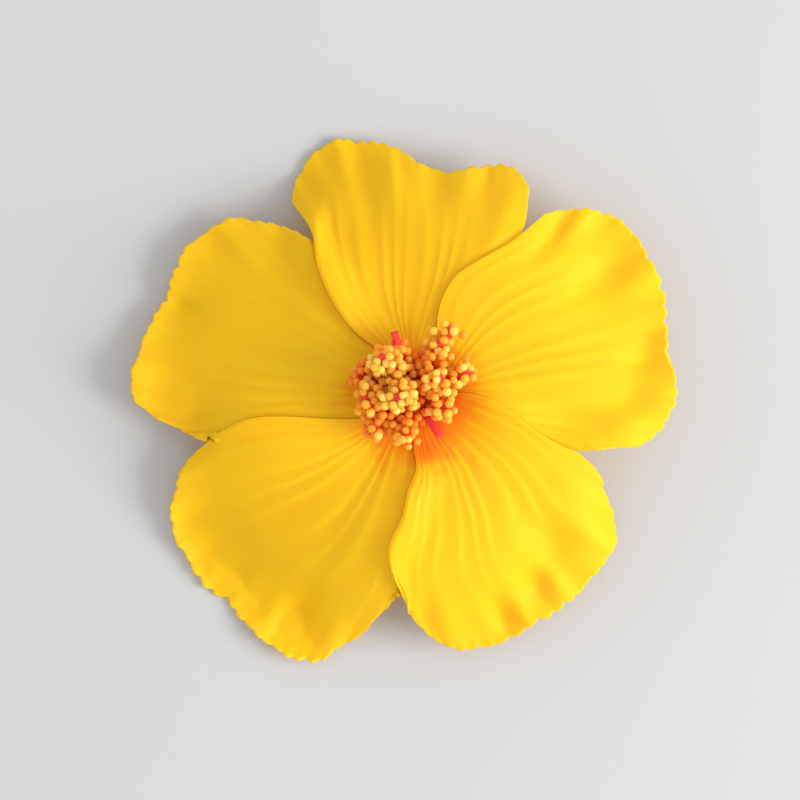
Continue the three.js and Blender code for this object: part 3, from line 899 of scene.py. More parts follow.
@dataclass(frozen=True)
class Petal:
    """One petal's plan and relief, in millimetres; its middle runs out from the throat at angle."""

    name: str
    angle: float
    ccw: Plan
    rim: Plan
    cw: Plan
    heights: tuple[float, ...]
    tilt: float
    cup: float
    dents: Sequence[tuple[float, float, float, float]]
    under: tuple[str, ...]
    folds: Sequence[tuple[float, float, float, float, float]]
    flanks: tuple[float, float] = (0.0, 0.0)
    seed: float = 0.0


PETALS = (
    Petal(
        name="petal_lower_right",
        angle=-55,
        ccw=((10.7, 1.3), (15.7, 0.7), (20.8, -1.3), (26.9, -6.2), (32.0, -9.2), (35.6, -10.7)),
        rim=(
            (39.1, -14.3), (40.9, -18.8), (42.9, -24.5), (42.9, -29.9), (40.1, -33.8), (36.6, -38.1),
            (32.0, -42.1), (25.9, -45.8), (21.4, -48.8), (15.7, -50.4), (10.0, -50.4), (5.6, -47.8),
            (2.1, -44.2),
        ),
        cw=(
            (2.3, -8.8), (2.7, -13.9), (1.1, -18.0), (-0.1, -23.4), (-2.5, -28.5), (-2.7, -32.6),
            (0.5, -40.1),
        ),
        heights=(16.8, 18.9, 18.7, 14.6, 6.5),
        tilt=0.0,
        cup=0.8,
        dents=(
            (22.3, -43.7, 5, 1.2), (25.8, -38.2, 4, 1.0), (29.5, -31.6, 4, 1.4), (35.0, -19.0, 6, -1.0),
            (42.0, -34.0, 8, -3.6), (31.0, -47.0, 8, -2.8),
        ),
        under=(),
        folds=(
            (19.8, -43.5, 2.2, 4.5, -1.6), (24.2, -43.5, 2.0, 3.4, 1.4), (26.9, -36.6, 2.8, 5.0, -1.4),
            (31.4, -38.0, 2.4, 4.4, 1.4), (29.8, -27.6, 3.0, 5.5, -1.5), (38.0, -27.0, 3.0, 4.4, 1.6),
            (9.0, -46.0, 2.4, 5.0, 0.7), (4.5, -43.5, 1.8, 4.0, -0.5), (40.0, -18.5, 2.2, 4.0, -0.6),
            (13.5, -5.5, 3.6, 5.0, -0.9),
        ),
        flanks=(0.0, 1.7),
        seed=1.7,
    ),
    Petal(
        name="petal_right",
        angle=15,
        ccw=((6.6, 11.5), (7.6, 19.4), (10.7, 24.9), (15.7, 28.3), (21.8, 31.8), (28.9, 37.7)),
        rim=(
            (34.4, 38.5), (39.5, 38.1), (44.6, 35.8), (47.8, 32.0), (50.4, 27.3), (52.5, 22.2),
            (53.1, 16.1), (53.3, 9.6), (55.1, 4.0), (54.5, -1.1), (51.9, -5.6), (48.2, -9.0), (42.1, -9.6),
        ),
        cw=((12.7, -2.5), (21.8, -6.2), (29.9, -9.2), (35.6, -10.3)),
        heights=(16.2, 17.9, 18.5, 16.0, 11.6),
        tilt=0.3,
        cup=0.0,
        dents=(
            (32.2, 35.4, 4, 1.0), (40.0, 32.8, 4, 1.0), (40.4, 21.6, 5, 1.4), (51.0, 9.0, 4, 1.2),
            (45.6, 0.4, 4, 1.3), (58.0, 10.0, 9, -2.8), (54.0, -5.0, 9, -3.6), (39.0, -14.0, 8, -2.8),
        ),
        under=("petal_lower_right",),
        folds=(
            (31.0, 34.0, 1.9, 6.0, -1.3), (35.5, 36.5, 2.4, 5.0, 1.0), (38.6, 24.6, 3.4, 6.0, -1.6),
            (49.6, 26.0, 4.0, 5.0, 2.2), (48.2, 8.2, 2.4, 4.0, -1.5), (53.6, 10.8, 2.6, 3.2, 1.7),
            (53.0, 1.5, 2.4, 4.0, 0.9), (33.0, -4.2, 4.0, 7.0, -1.5), (45.5, -5.4, 4.0, 5.0, 2.0),
            (45.5, 33.0, 2.2, 4.0, -0.6),
        ),
        flanks=(0.2, 0.0),
        seed=4.1,
    ),
    Petal(
        name="petal_lower_left",
        angle=-133,
        ccw=((4.4, -11.2), (5.8, -20.0), (4.4, -30.2), (-1.1, -39.1)),
        rim=(
            (-2.9, -41.9), (-5.6, -44.6), (-8.2, -47.8), (-12.5, -50.2), (-16.3, -52.9), (-20.8, -52.9),
            (-25.9, -50.6), (-31.4, -46.2), (-35.8, -41.1), (-40.1, -38.1), (-43.7, -32.6), (-46.2, -28.5),
            (-47.2, -22.8), (-46.0, -17.8), (-44.2, -12.9), (-40.5, -9.4),
        ),
        cw=((-7.6, -3.6), (-14.7, -3.8), (-23.9, -3.3), (-31.0, -3.8), (-36.6, -6.2)),
        heights=(15.6, 16.4, 14.8, 10.2, 1.4),
        tilt=-0.2,
        cup=1.7,
        dents=(
            (-19.8, -42.7, 5, 1.2), (-37.6, -38.6, 5, 1.3), (-9.2, -23.4, 5, 0.8), (-48.0, -19.0, 9, -4.0),
        ),
        under=("petal_lower_right",),
        folds=(
            (-20.8, -43.5, 2.8, 5.5, -1.4), (-14.5, -48.0, 2.4, 4.5, 0.9), (-27.0, -45.0, 2.4, 4.5, 0.8),
            (-35.5, -38.5, 2.0, 4.0, -0.5), (-44.5, -24.5, 2.4, 4.0, -0.6), (-44.0, -15.5, 2.6, 5.0, 0.8),
            (-12.5, -25.0, 3.0, 14.0, -0.6),
        ),
        flanks=(0.0, 0.4),
        seed=7.3,
    ),
    Petal(
        name="petal_top",
        angle=91,
        ccw=((-4.2, 9.5), (-9.6, 13.8), (-13.6, 19.0), (-17.2, 27.0), (-18.4, 34.0), (-22.6, 40.5)),
        rim=(
            (-21.6, 45.0), (-19.0, 49.6), (-13.9, 53.1), (-8.2, 52.7), (-2.5, 51.9), (1.5, 49.6),
            (5.6, 47.2), (10.3, 46.3), (14.7, 47.2), (18.8, 47.4), (22.4, 47.2),
        ),
        cw=((6.6, 10.0), (13.7, 18.2), (20.8, 27.9), (24.5, 34.8), (25.7, 43.1)),
        heights=(15.3, 15.8, 15.2, 9.8, 0.7),
        tilt=-1.2,
        cup=2.2,
        dents=((-5.6, 46.6, 5, 1.6), (7.6, 45.0, 5, 1.4), (-14.0, 44, 6, -1.0), (16, 42, 5, -0.8)),
        under=("petal_right",),
        folds=(
            (-7.8, 45.4, 2.6, 8.0, -1.3), (-2.2, 47.5, 1.7, 7.0, 0.8), (6.8, 44.5, 3.2, 5.5, -1.2),
            (13.0, 45.0, 2.6, 4.0, 0.6), (-12.5, 49.5, 2.2, 5.0, 0.7), (21.0, 38.0, 3.4, 9.0, 1.0),
            (-19.0, 44.0, 1.8, 4.0, -0.5), (17.2, 45.6, 1.4, 3.0, -0.5),
        ),
        flanks=(2.4, 0.0),
        seed=2.9,
    ),
    Petal(
        name="petal_left",
        angle=165,
        ccw=((-6.5, -3.4), (-14.7, -6.8), (-22.8, -8.2), (-32.0, -8.2), (-37.7, -6.4)),
        rim=(
            (-42.1, -6.8), (-47.6, -5.0), (-51.3, -2.9), (-54.7, 0.5), (-55.1, 5.0), (-53.3, 10.7),
            (-51.3, 15.7), (-48.2, 20.6), (-46.0, 27.3), (-43.7, 31.4), (-39.9, 34.2), (-35.0, 37.0),
            (-31.4, 36.6), (-23.9, 35.0),
        ),
        cw=((-2.4, 8.6), (-6.0, 15.4), (-11.8, 23.4), (-18.4, 32.4)),
        heights=(15.2, 15.4, 13.4, 9.8, 5.4),
        tilt=-0.2,
        cup=1.1,
        dents=((-46.4, 19.6, 5, 1.3), (-24.2, 31.6, 5, 1.1), (-40.5, -4.2, 5, 1.0), (-53.0, 6, 5, -1.2)),
        under=("petal_top", "petal_lower_left"),
        folds=(
            (-44.8, 19.6, 1.6, 3.2, -1.3), (-23.8, 31.6, 1.9, 5.0, -1.1), (-33.0, 31.5, 2.8, 9.0, 0.8),
            (-27.5, 27.5, 1.6, 8.0, -0.6), (-41.1, -3.4, 1.3, 5.0, -1.0),
            (-26.0, -1.9, 0.9, 5.0, 0.45), (-54.0, 3.0, 4.0, 3.0, 0.9), (-50.0, 12.5, 2.4, 4.0, -0.7),
            (-46.5, 25.5, 2.2, 4.0, 0.6), (-38.5, 33.5, 2.0, 4.0, -0.6),
        ),
        seed=5.6,
    ),
)


class EdgeLine:
    """A smooth planar curve read by its share of length."""

    def __init__(self, points: Plan) -> None:
        """Fits a centripetal spline.

        Args:
            points: The points it passes through, in millimetres.
        """
        knots = np.array(points, float)
        ends = [2 * knots[0] - knots[1], *knots, 2 * knots[-1] - knots[-2]]
        places = [knots[0]]
        for i in range(1, len(ends) - 2):
            places.extend(self.span(*ends[i - 1:i + 3]))
        self.points = np.array(places)
        steps = np.hypot(*np.diff(self.points, axis=0).T)
        self.length = float(steps.sum())
        self.shares = np.concatenate([[0.0], np.cumsum(steps)]) / self.length

    @staticmethod
    def span(before: np.ndarray, start: np.ndarray, end: np.ndarray, after: np.ndarray) -> list[np.ndarray]:
        """Points between start and end, end included.

        Args:
            before: The knot before start.
            start: The span's first knot.
            end: The span's last knot.
            after: The knot after end.

        Returns:
            Twelve points.
        """
        first, middle, last = (math.sqrt(float(np.hypot(*(b - a)))) for a, b in
                               ((before, start), (start, end), (end, after)))
        steady = (end - start) / middle
        leave = ((start - before) / first - (end - before) / (first + middle) + steady) * middle
        reach = (steady - (after - start) / (middle + last) + (after - end) / last) * middle
        made = []
        for t in np.linspace(0, 1, 13)[1:]:
            cubic = (2 * start - 2 * end + leave + reach) * t ** 3
            square = (-3 * start + 3 * end - 2 * leave - reach) * t ** 2
            made.append(cubic + square + leave * t + start)
        return made

    def at(self, share: np.ndarray) -> np.ndarray:
        """Points at shares of the length.

        Args:
            share: Shares from 0 to 1.

        Returns:
            One row of X and Y for each share.
        """
        return np.stack([np.interp(share, self.shares, self.points[:, axis]) for axis in (0, 1)], -1)


@dataclass
class Corolla:
    """The five lapped petals and the plan and height rules they share, in millimetres."""

    finish: bpy.types.Material
    throat: tuple[float, float] = (2.2, 0.5)
    claw_radius: float = 4.3
    claw_half_angle: float = 25.0
    foam: float = 1.0
    rim_foam: float = 0.42
    lap_gap: float = 0.30
    drape_slope: float = 0.26
    drape_round: float = 0.9
    margin: float = 2.6
    lap_slope: float = 1.1
    table_gap: float = 0.12
    hub_top: float = 13.5
    hub_radius: float = 11.0
    felt_top: float = 12.0
    felt_radius: float = 16.0
    station_step: float = 12.0
    first_station: float = 4.0
    half_angle: float = 40.0
    cupping: tuple[float, float] = (4.0, 20.0)
    columns: int = 300
    rows: int = 104
    rib_height: float = 0.044
    ruffle_height: float = 0.16
    scallop_depth: float = 0.85
    edges: dict[str, dict[str, EdgeLine]] = field(default_factory=dict)

    def __post_init__(self) -> None:
        """Fits the edge curves of every petal."""
        self.plans = {petal.name: petal for petal in PETALS}
        for petal in PETALS:
            turns = (self.claw_half_angle, 0, -self.claw_half_angle)
            claw = [self.claw_point(petal.angle + turn) for turn in turns]
            self.edges[petal.name] = {
                "base": EdgeLine(claw),
                "rim": EdgeLine([petal.ccw[-1], *petal.rim, petal.cw[-1]]),
                "ccw": EdgeLine([claw[0], *petal.ccw]),
                "cw": EdgeLine([claw[2], *petal.cw]),
            }

    def claw_point(self, angle: float) -> tuple[float, float]:
        """Point on the claw circle round the throat, at an angle in degrees."""
        turn = math.radians(angle)
        x, y = self.throat
        return (x + self.claw_radius * math.cos(turn), y + self.claw_radius * math.sin(turn))

    def plan(self, petal: Petal, u: np.ndarray, v: np.ndarray) -> np.ndarray:
        """Plan position of points on a petal.

        Args:
            petal: The petal.
            u: Shares across, from its ccw side to its cw side.
            v: Shares outwards, from throat to rim.

        Returns:
            One row of X and Y for each point.
        """
        edge = self.edges[petal.name]
        cu, cv = u[:, None], v[:, None]
        corners = {name: (line.points[0], line.points[-1]) for name, line in edge.items()}
        sides = (1 - cu) * edge["ccw"].at(v) + cu * edge["cw"].at(v)
        ends = (1 - cv) * edge["base"].at(u) + cv * edge["rim"].at(u)
        low = (1 - cu) * corners["base"][0] + cu * corners["base"][1]
        high = (1 - cu) * corners["rim"][0] + cu * corners["rim"][1]
        return sides + ends - (1 - cv) * low - cv * high

    def outside(self, name: str, x: np.ndarray, y: np.ndarray) -> np.ndarray:
        """Distance of points outside a petal's plan, negative inside it.

        Args:
            name: The petal.
            x: X of each point.
            y: Y of each point.

        Returns:
            The distances.
        """
        edge = self.edges[name]
        share = np.linspace(0, 1, 40, endpoint=False)
        ways = (("ccw", share), ("rim", share), ("cw", 1 - share), ("base", 1 - share))
        loop = np.concatenate([edge[side].at(way) for side, way in ways])
        inside = np.zeros(len(x), bool)
        nearest = np.full(len(x), np.inf)
        for a, b in zip(loop, np.roll(loop, -1, axis=0)):
            run = b - a
            length = max(float(run @ run), 1e-12)
            part = np.clip(((x - a[0]) * run[0] + (y - a[1]) * run[1]) / length, 0, 1)
            nearest = np.minimum(nearest, np.hypot(x - a[0] - part * run[0], y - a[1] - part * run[1]))
            if a[1] != b[1]:
                crossing = (a[1] > y) != (b[1] > y)
                inside ^= crossing & (x < a[0] + (y - a[1]) / run[1] * run[0])
        return np.where(inside, -nearest, nearest)

    def free_height(self, petal: Petal, x: np.ndarray, y: np.ndarray) -> np.ndarray:
        """Height of a petal's upper surface as if it lay alone.

        Args:
            petal: The petal.
            x: X of each point.
            y: Y of each point.

        Returns:
            The heights.
        """
        dx, dy = x - self.throat[0], y - self.throat[1]
        radius = np.hypot(dx, dy)
        levels = np.array(petal.heights)
        place = (radius - self.first_station) / self.station_step
        cell = np.clip(np.floor(place).astype(int), 0, len(levels) - 2)
        t = np.maximum(place - cell, 0)
        h0, h1 = levels[np.maximum(cell - 1, 0)], levels[cell]
        h2, h3 = levels[cell + 1], levels[np.minimum(cell + 2, len(levels) - 1)]
        bend = 2 * h0 - 5 * h1 + 4 * h2 - h3
        twist = -h0 + 3 * h1 - 3 * h2 + h3
        z = h1 + 0.5 * t * (h2 - h0 + t * (bend + t * twist))
        turn = np.arctan2(dy, dx) - math.radians(petal.angle)
        across = np.arctan2(np.sin(turn), np.cos(turn)) / math.radians(self.half_angle)
        reach = smooth(*self.cupping, radius)
        z += reach * (petal.tilt * np.clip(across, -1.2, 1.2) + petal.cup * np.minimum(across ** 2, 1.4))
        for px, py, size, depth in petal.dents:
            z -= depth * np.exp(-((x - px) ** 2 + (y - py) ** 2) / size ** 2)
        return z

    def support(self, x: np.ndarray, y: np.ndarray) -> np.ndarray:
        """Lowest height of an upper surface over the table, the felt and the hub.

        Args:
            x: X of each point.
            y: Y of each point.

        Returns:
            The heights.
        """
        past_hub = np.hypot(x - self.throat[0], y - self.throat[1]) - self.hub_radius - 1
        past_felt = np.hypot(x, y) - self.felt_radius - 1
        over_hub = self.hub_top + 0.1 - self.lap_slope * np.maximum(past_hub, 0)
        over_felt = self.felt_top + 0.1 - self.lap_slope * np.maximum(past_felt, 0)
        return self.foam + np.maximum(np.maximum(over_hub, over_felt), 0.0)

    def lapped_height(self, name: str, x: np.ndarray, y: np.ndarray) -> np.ndarray:
        """Height of a petal's upper surface where it drapes against the petals that lie on it.

        Args:
            name: The petal.
            x: X of each point.
            y: Y of each point.

        Returns:
            The heights.
        """
        petal = self.plans[name]
        z = self.free_height(petal, x, y)
        for cover in petal.under:
            away = self.outside(cover, x, y)
            over = self.lapped_height(cover, x, y) + np.minimum(self.folded(self.plans[cover], x, y), 0.0)
            contact = over - self.foam * self.thin(-away) - self.lap_gap
            z = soft_max(z, contact - self.drape_slope * np.abs(away), self.drape_round)
            z = np.minimum(z, contact + self.lap_slope * np.maximum(away, 0))
        return np.maximum(z, self.support(x, y))

    def thin(self, inward: np.ndarray) -> np.ndarray:
        """Share of the foam's thickness at a distance in from an edge."""
        return self.rim_foam + (1 - self.rim_foam) * smooth(0.0, self.margin, inward)

    def ribs(self, petal: Petal, u: np.ndarray, v: np.ndarray) -> np.ndarray:
        """Soft ribs that fan out from the throat, from -1 in a groove to 1 on a crest.

        Args:
            petal: The petal.
            u: Shares across.
            v: Shares outwards.

        Returns:
            The relief before its height is applied.
        """
        wander = 0.018 * np.sin(4.3 * v + petal.seed) + 0.012 * np.sin(9 * v + 5 * u + petal.seed)
        phase = 12 * (u + wander) + 0.35 * np.sin(6 * u + petal.seed) + 0.22 * np.sin(23 * u + 3 * petal.seed)
        ridge = np.cos(2 * math.pi * phase) + 0.18 * np.cos(4 * math.pi * phase + 0.6)
        uneven = 0.78 + 0.16 * np.sin(8.3 * u + 2.3 * petal.seed)
        uneven += 0.18 * np.sin(17 * u + 7 * v + 1.7 * petal.seed)
        fade = smooth(0.02, 0.14, v) * smooth(0.96, 0.46, v) * smooth(0.0, 0.07, u) * smooth(1.0, 0.93, u)
        return ridge * uneven * fade

    def folded(self, petal: Petal, x: np.ndarray, y: np.ndarray) -> np.ndarray:
        """Rise and fall of the folds that run in from the rim, longer along the petal than across it.

        Args:
            petal: The petal.
            x: X of each point.
            y: Y of each point.

        Returns:
            The relief in millimetres.
        """
        relief = np.zeros(len(x))
        for px, py, across, outwards, height in petal.folds:
            out = np.array([px - self.throat[0], py - self.throat[1]])
            out /= np.linalg.norm(out)
            run = (x - px) * out[0] + (y - py) * out[1]
            side = (y - py) * out[0] - (x - px) * out[1]
            relief += height * np.exp(-((run / outwards) ** 2) - (side / across) ** 2)
        return relief

    def ruffles(self, petal: Petal, u: np.ndarray, v: np.ndarray, length: float) -> np.ndarray:
        """Crimps that run in from the rim, from -1 to 1.

        Args:
            petal: The petal.
            u: Shares across.
            v: Shares outwards.
            length: Length of the rim.

        Returns:
            The relief before its height is applied.
        """
        place = u * length
        crimp = np.sin(2 * math.pi * place / 3.1 + 1.3 * np.sin(place / 5.3 + petal.seed))
        wave = np.sin(2 * math.pi * place / 8.3 + 1.4 * np.sin(place / 11 + 2 * petal.seed))
        ends = smooth(0.0, 0.08, u) * smooth(1.0, 0.92, u)
        return (0.45 * crimp * smooth(0.93, 1.0, v) + wave * smooth(0.74, 1.0, v)) * ends

    def scallops(self, petal: Petal, u: np.ndarray, length: float) -> np.ndarray:
        """How far the rim stands out from its mean line along its length.

        Args:
            petal: The petal.
            u: Shares across.
            length: Length of the rim.

        Returns:
            The relief before its depth is applied.
        """
        place = u * length
        lobes = np.abs(np.sin(math.pi * place / 2.9 + 1.2 * np.sin(place / 6.1 + petal.seed)))
        large = np.abs(np.sin(math.pi * place / 6.7 + petal.seed))
        uneven = 0.7 + 0.3 * np.sin(place / 4.3 + 3 * petal.seed)
        ends = smooth(0.0, 0.04, u) * smooth(1.0, 0.96, u)
        return ((lobes ** 0.6 - 0.5) * uneven + 0.5 * (large ** 0.7 - 0.5)) * ends

    def flank(self, petal: Petal, to_side: tuple[np.ndarray, np.ndarray], v: np.ndarray) -> np.ndarray:
        """Rolled-up side margins, in millimetres.

        Args:
            petal: The petal.
            to_side: Distance of each point from the ccw and from the cw edge.
            v: Shares outwards.

        Returns:
            The rise of each point.
        """
        rise = np.zeros(len(v))
        for height, inward in zip(petal.flanks, to_side):
            rise += height * smooth(7.5, 1.6, inward) * smooth(-1.6, 1.2, inward)
        return rise * smooth(0.12, 0.42, v) * smooth(1.0, 0.78, v)

    def build(self, petal: Petal) -> bpy.types.Object:
        """Models one petal as a fine sheet of foam.

        Args:
            petal: The petal.

        Returns:
            The piece.
        """
        shape = bmesh.new()
        bmesh.ops.create_grid(shape, x_segments=self.columns, y_segments=self.rows, size=0.5)
        flat = np.array([vert.co[:2] for vert in shape.verts]) + 0.5
        u, v = np.clip(flat[:, 0], 0, 1), np.clip(flat[:, 1], 0, 1)
        length = self.edges[petal.name]["rim"].length
        place = self.plan(petal, u, v)
        near = np.minimum(v + 0.01, 1.0)
        outward = self.plan(petal, u, near) - self.plan(petal, u, near - 0.02)
        outward /= np.maximum(np.linalg.norm(outward, axis=1, keepdims=True), 1e-9)
        push = self.scallop_depth * self.scallops(petal, u, length) * smooth(0.955, 1.0, v)
        place += outward * push[:, None]
        x, y = place.T
        to_side = tuple(
            np.linalg.norm(place - self.plan(petal, np.full(len(u), side), v), axis=1) for side in (0.0, 1.0)
        )
        shown = np.ones(len(x))
        for cover in petal.under:
            shown = np.minimum(shown, smooth(0.0, 2.0, self.outside(cover, x, y)))
        ribs = self.ribs(petal, u, v)
        ruffles = self.ruffles(petal, u, v, length)
        inward = np.minimum(np.minimum(*to_side), (1 - v) * 45)
        detail = self.rib_height * sum(to_side) / 13 * ribs + self.ruffle_height * ruffles
        detail += self.folded(petal, x, y) + self.flank(petal, to_side, v)
        thin = self.thin(inward)
        surface = self.lapped_height(petal.name, x, y) + detail * shown
        z = np.maximum(surface, self.foam * thin + self.table_gap)
        groove = np.clip(0.5 + 0.3 * ribs * shown + 0.2 * ruffles * shown, 0, 1)
        # glow: mask for the painted highlight along the petal's edges
        glow = smooth(0.45, 0.0, inward) * smooth(0.05, 0.3, v)
        self.dress(shape, np.stack([x, y, z], -1), {"relief": groove, "rim": glow}, thin)
        name = f"{petal.name}_foam"
        piece = finish_piece(shape, name, Body.FLOWER, self.finish, [petal.name])
        piece.vertex_groups.new(name="thickness")
        skin = piece.modifiers.new("foam_thickness", "SOLIDIFY")
        skin.thickness = self.foam * MM
        skin.offset = -1
        skin.vertex_group = "thickness"
        skin.thickness_vertex_group = 0.0
        return piece

    @staticmethod
    def dress(
        shape: bmesh.types.BMesh, places: np.ndarray, values: dict[str, np.ndarray], thin: np.ndarray
    ) -> None:
        """Moves a grid's vertices into place and stores what its finish reads.

        Args:
            shape: The grid.
            places: Position of each vertex in millimetres.
            values: Attribute name to its value at each vertex.
            thin: Share of the full thickness at each vertex.
        """
        layers = {name: shape.verts.layers.float.new(name) for name in values}
        weight = shape.verts.layers.deform.verify()
        for i, vert in enumerate(shape.verts):
            vert.co = Vector(places[i]) * MM
            vert[weight][0] = float(thin[i])
            for name, layer in layers.items():
                vert[layer] = float(values[name][i])
        bmesh.ops.recalc_face_normals(shape, faces=shape.faces)
        if sum(face.normal.z for face in shape.faces) < 0:
            bmesh.ops.reverse_faces(shape, faces=shape.faces)


# --------------------------------------------------------------------------------------------- stamen


@dataclass(frozen=True)
class Finger:
    """One finger of the stamen comb: its tip in millimetres and how its beads sit."""

    tip: tuple[float, float, float]
    start: float = 0.26
    end: float = 1.0
    beads: int = 38
    stray: tuple[tuple[float, float], ...] = ()


FINGERS = (
    Finger((-1.6, 13.4, 24.6), end=0.88),
    Finger((9.6, 14.4, 26.0), beads=56),
    Finger((13.2, 5.6, 24.5), beads=46),
    Finger((7.6, 4.3, 30.2)),
    Finger((9.6, -1.4, 25.6)),
    Finger((7.6, -7.2, 21.6), beads=0, stray=((0.52, 1.0), (0.66, 1.0))),
    Finger((0.2, -8.4, 25.6)),
    Finger((-6.3, -6.0, 23.6), beads=52),
    Finger((-7.9, 0.2, 27.4), beads=52),
    Finger((-8.9, 6.0, 23.2), beads=52),
    Finger((-4.2, 8.6, 29.4), beads=52),
    Finger((-1.1, 0.5, 31.8), beads=40),
)


@dataclass
class Stamen:
    """The rolled foam comb and the beads glued round its fingers, in millimetres."""

    foam: bpy.types.Material
    bead: bpy.types.Material
    centre: tuple[float, float] = (2.0, 1.4)
    roll_centre: tuple[float, float] = (2.1, 0.9)
    roll_low: float = 12.0
    roll_top: float = 18.6
    roll_radius: tuple[float, float] = (0.55, 2.5)
    roll_turns: float = 1.85
    roll_thickness: float = 1.32
    finger_side: float = 1.6
    root_z: float = 17.2
    bead_radius: tuple[float, float] = (0.76, 0.95)
    seed: int = 20
    taken: list[tuple[Vector, float]] = field(default_factory=list)

    def path(self, finger: Finger, steps: int = 14) -> list[Vector]:
        """Centre line of a finger from inside the roll to its tip.

        Args:
            finger: The finger.
            steps: Spans along it.

        Returns:
            The points.
        """
        tip = Vector(finger.tip)
        out = Vector((tip.x - self.centre[0], tip.y - self.centre[1], 0))
        lean = min(out.length / 12, 1)
        root = Vector((*self.centre, self.root_z)) + out.normalized() * 2.3 * lean
        rise = tip.z - self.root_z
        knots = [
            root,
            root + out * 0.1 + Vector((0, 0, 0.38 * rise)),
            Vector(((root.x + tip.x) / 2, (root.y + tip.y) / 2, tip.z - 0.25 * rise)),
            tip,
        ]
        knots = [2 * knots[0] - knots[1], *knots, 2 * knots[-1] - knots[-2]]
        made = []
        for step in range(steps + 1):
            place = step / steps * 3
            cell = min(int(place), 2)
            t = place - cell
            a, b, c, d = knots[cell:cell + 4]
            bend = 2 * a - 5 * b + 4 * c - d
            twist = 3 * b - a - 3 * c + d
            made.append(0.5 * (2 * b + (c - a) * t + bend * t * t + twist * t ** 3))
        return made

    def build_comb(self) -> bpy.types.Object:
        """Models the foam fingers and the rolled strip they are cut from."""
        shape = bmesh.new()
        half = self.finger_side / 2
        trim = half * 0.82
        section = [(-half, -trim), (-trim, -half), (trim, -half), (half, -trim),
                   (half, trim), (trim, half), (-trim, half), (-half, trim)]
        for i, finger in enumerate(FINGERS):
            path = self.path(finger)
            side = Vector((-(path[-1].y - path[0].y), path[-1].x - path[0].x, 0.2)).normalized()
            scales = [1.0 + 0.05 * math.sin(2.3 * step + i) for step in range(len(path))]
            sweep(shape, section, along(path, side), scales)
        self.add_roll(shape)
        close_and_orient(shape)
        comb = finish_piece(shape, "stamen_comb_foam", Body.FLOWER, self.foam, ["stamen_comb"])
        add_bevel(comb, 0.08, 2, 50)
        return comb

    def add_roll(self, shape: bmesh.types.BMesh) -> None:
        """Adds the spiral of the rolled-up strip.

        Args:
            shape: The comb's mesh.
        """
        axis = Vector((*self.roll_centre, (self.roll_low + self.roll_top) / 2))
        tall = (self.roll_top - self.roll_low) / 2
        half = self.roll_thickness / 2
        strip = [(-half, -tall), (half, -tall), (half, tall), (-half, tall)]
        first, last = self.roll_radius
        steps = 47
        frames = []
        for step in range(steps + 1):
            turn = 2 * math.pi * self.roll_turns * step / steps
            radius = first + (last - first) * step / steps
            out = Vector((radius * math.cos(turn), radius * math.sin(turn), 0))
            frames.append((axis + out, out.normalized(), Vector((0, 0, 1))))
        sweep(shape, strip, frames)

    def bead_spots(self, finger: Finger, rng: random.Random) -> list[tuple[Vector, float, float]]:
        """Chooses bead places on a finger, clear of the beads already placed.

        Args:
            finger: The finger.
            rng: Seeded random source.

        Returns:
            Centre, radius and tone of each bead; the tone is random plus painted light that makes higher and
            further-right beads lighter.
        """
        path = self.path(finger, 40)
        side = Vector((-(path[-1].y - path[0].y), path[-1].x - path[0].x, 0.2)).normalized()
        frames = along(path, side)
        spots: list[tuple[Vector, float, float]] = []
        beaded = finger.end - finger.start
        tries = [(t, turn * math.pi) for t, turn in finger.stray] or [
            (finger.start + beaded * rng.random() ** 0.85, rng.uniform(-math.pi, math.pi))
            for _ in range(1400)
        ]
        for number, (share, turn) in enumerate(tries):
            if not finger.stray and len(spots) >= finger.beads:
                break
            place, across, up = frames[min(int(share * 40), 40)]
            radius = rng.uniform(*self.bead_radius)
            flat = self.finger_side / 2 / max(abs(math.cos(turn)), abs(math.sin(turn)))
            crowd = 0.78 if number > 450 else 0.9
            reach = flat + radius * (0.72 if number < 500 else rng.choice((1.6, 2.3)))
            centre = place + (across * math.cos(turn) + up * math.sin(turn)) * reach
            if finger.end == 1.0 and share > 0.97 and not finger.stray:
                centre += (frames[-1][0] - frames[-2][0]).normalized() * radius * 0.6
            if all((centre - other).length > crowd * (radius + size) for other, size in self.taken):
                self.taken.append((centre, radius))
                # random tone plus painted light: beads higher up and further right come out lighter
                tone_and_light = min(max(rng.gauss(0.52 + 0.05 * (centre.z - 25) + 0.012 * centre.x, 0.2), 0.0), 1.0)
                spots.append((centre, radius, tone_and_light))
        return spots

    def build_beads(self, number: int, finger: Finger, rng: random.Random) -> bpy.types.Object:
        """Models the beads of one finger.

        Args:
            number: The finger's number, from 1.
            finger: The finger.
            rng: Seeded random source.

        Returns:
            The piece.
        """
        shape = bmesh.new()
        tone_and_light = shape.verts.layers.float.new("tone_and_light")
        for centre, radius, value in self.bead_spots(finger, rng):
            before = len(shape.verts)
            made = bmesh.ops.create_cube(shape, size=1.0)["verts"]
            edges = list({edge for vert in made for edge in vert.link_edges})
            bmesh.ops.subdivide_edges(shape, edges=edges, cuts=2, use_grid_fill=True)
            shape.verts.ensure_lookup_table()
            for vert in shape.verts[before:]:
                swell = radius * (1 + 0.03 * math.sin(7 * vert.co.x + 5 * vert.co.y + 9 * value))
                vert.co = (centre + vert.co.normalized() * swell) * MM
                vert[tone_and_light] = value
        name = f"pollen_beads_{number:02d}"
        node = f"pollen_cluster_{number:02d}"
        return finish_piece(shape, name, Body.FLOWER, self.bead, [node])

    def build(self) -> None:
        """Builds the comb and every finger's beads."""
        self.build_comb()
        rng = random.Random(self.seed)
        for number, finger in enumerate(FINGERS, 1):
            self.build_beads(number, finger, rng)


# ------------------------------------------------------------------------------------------- backing


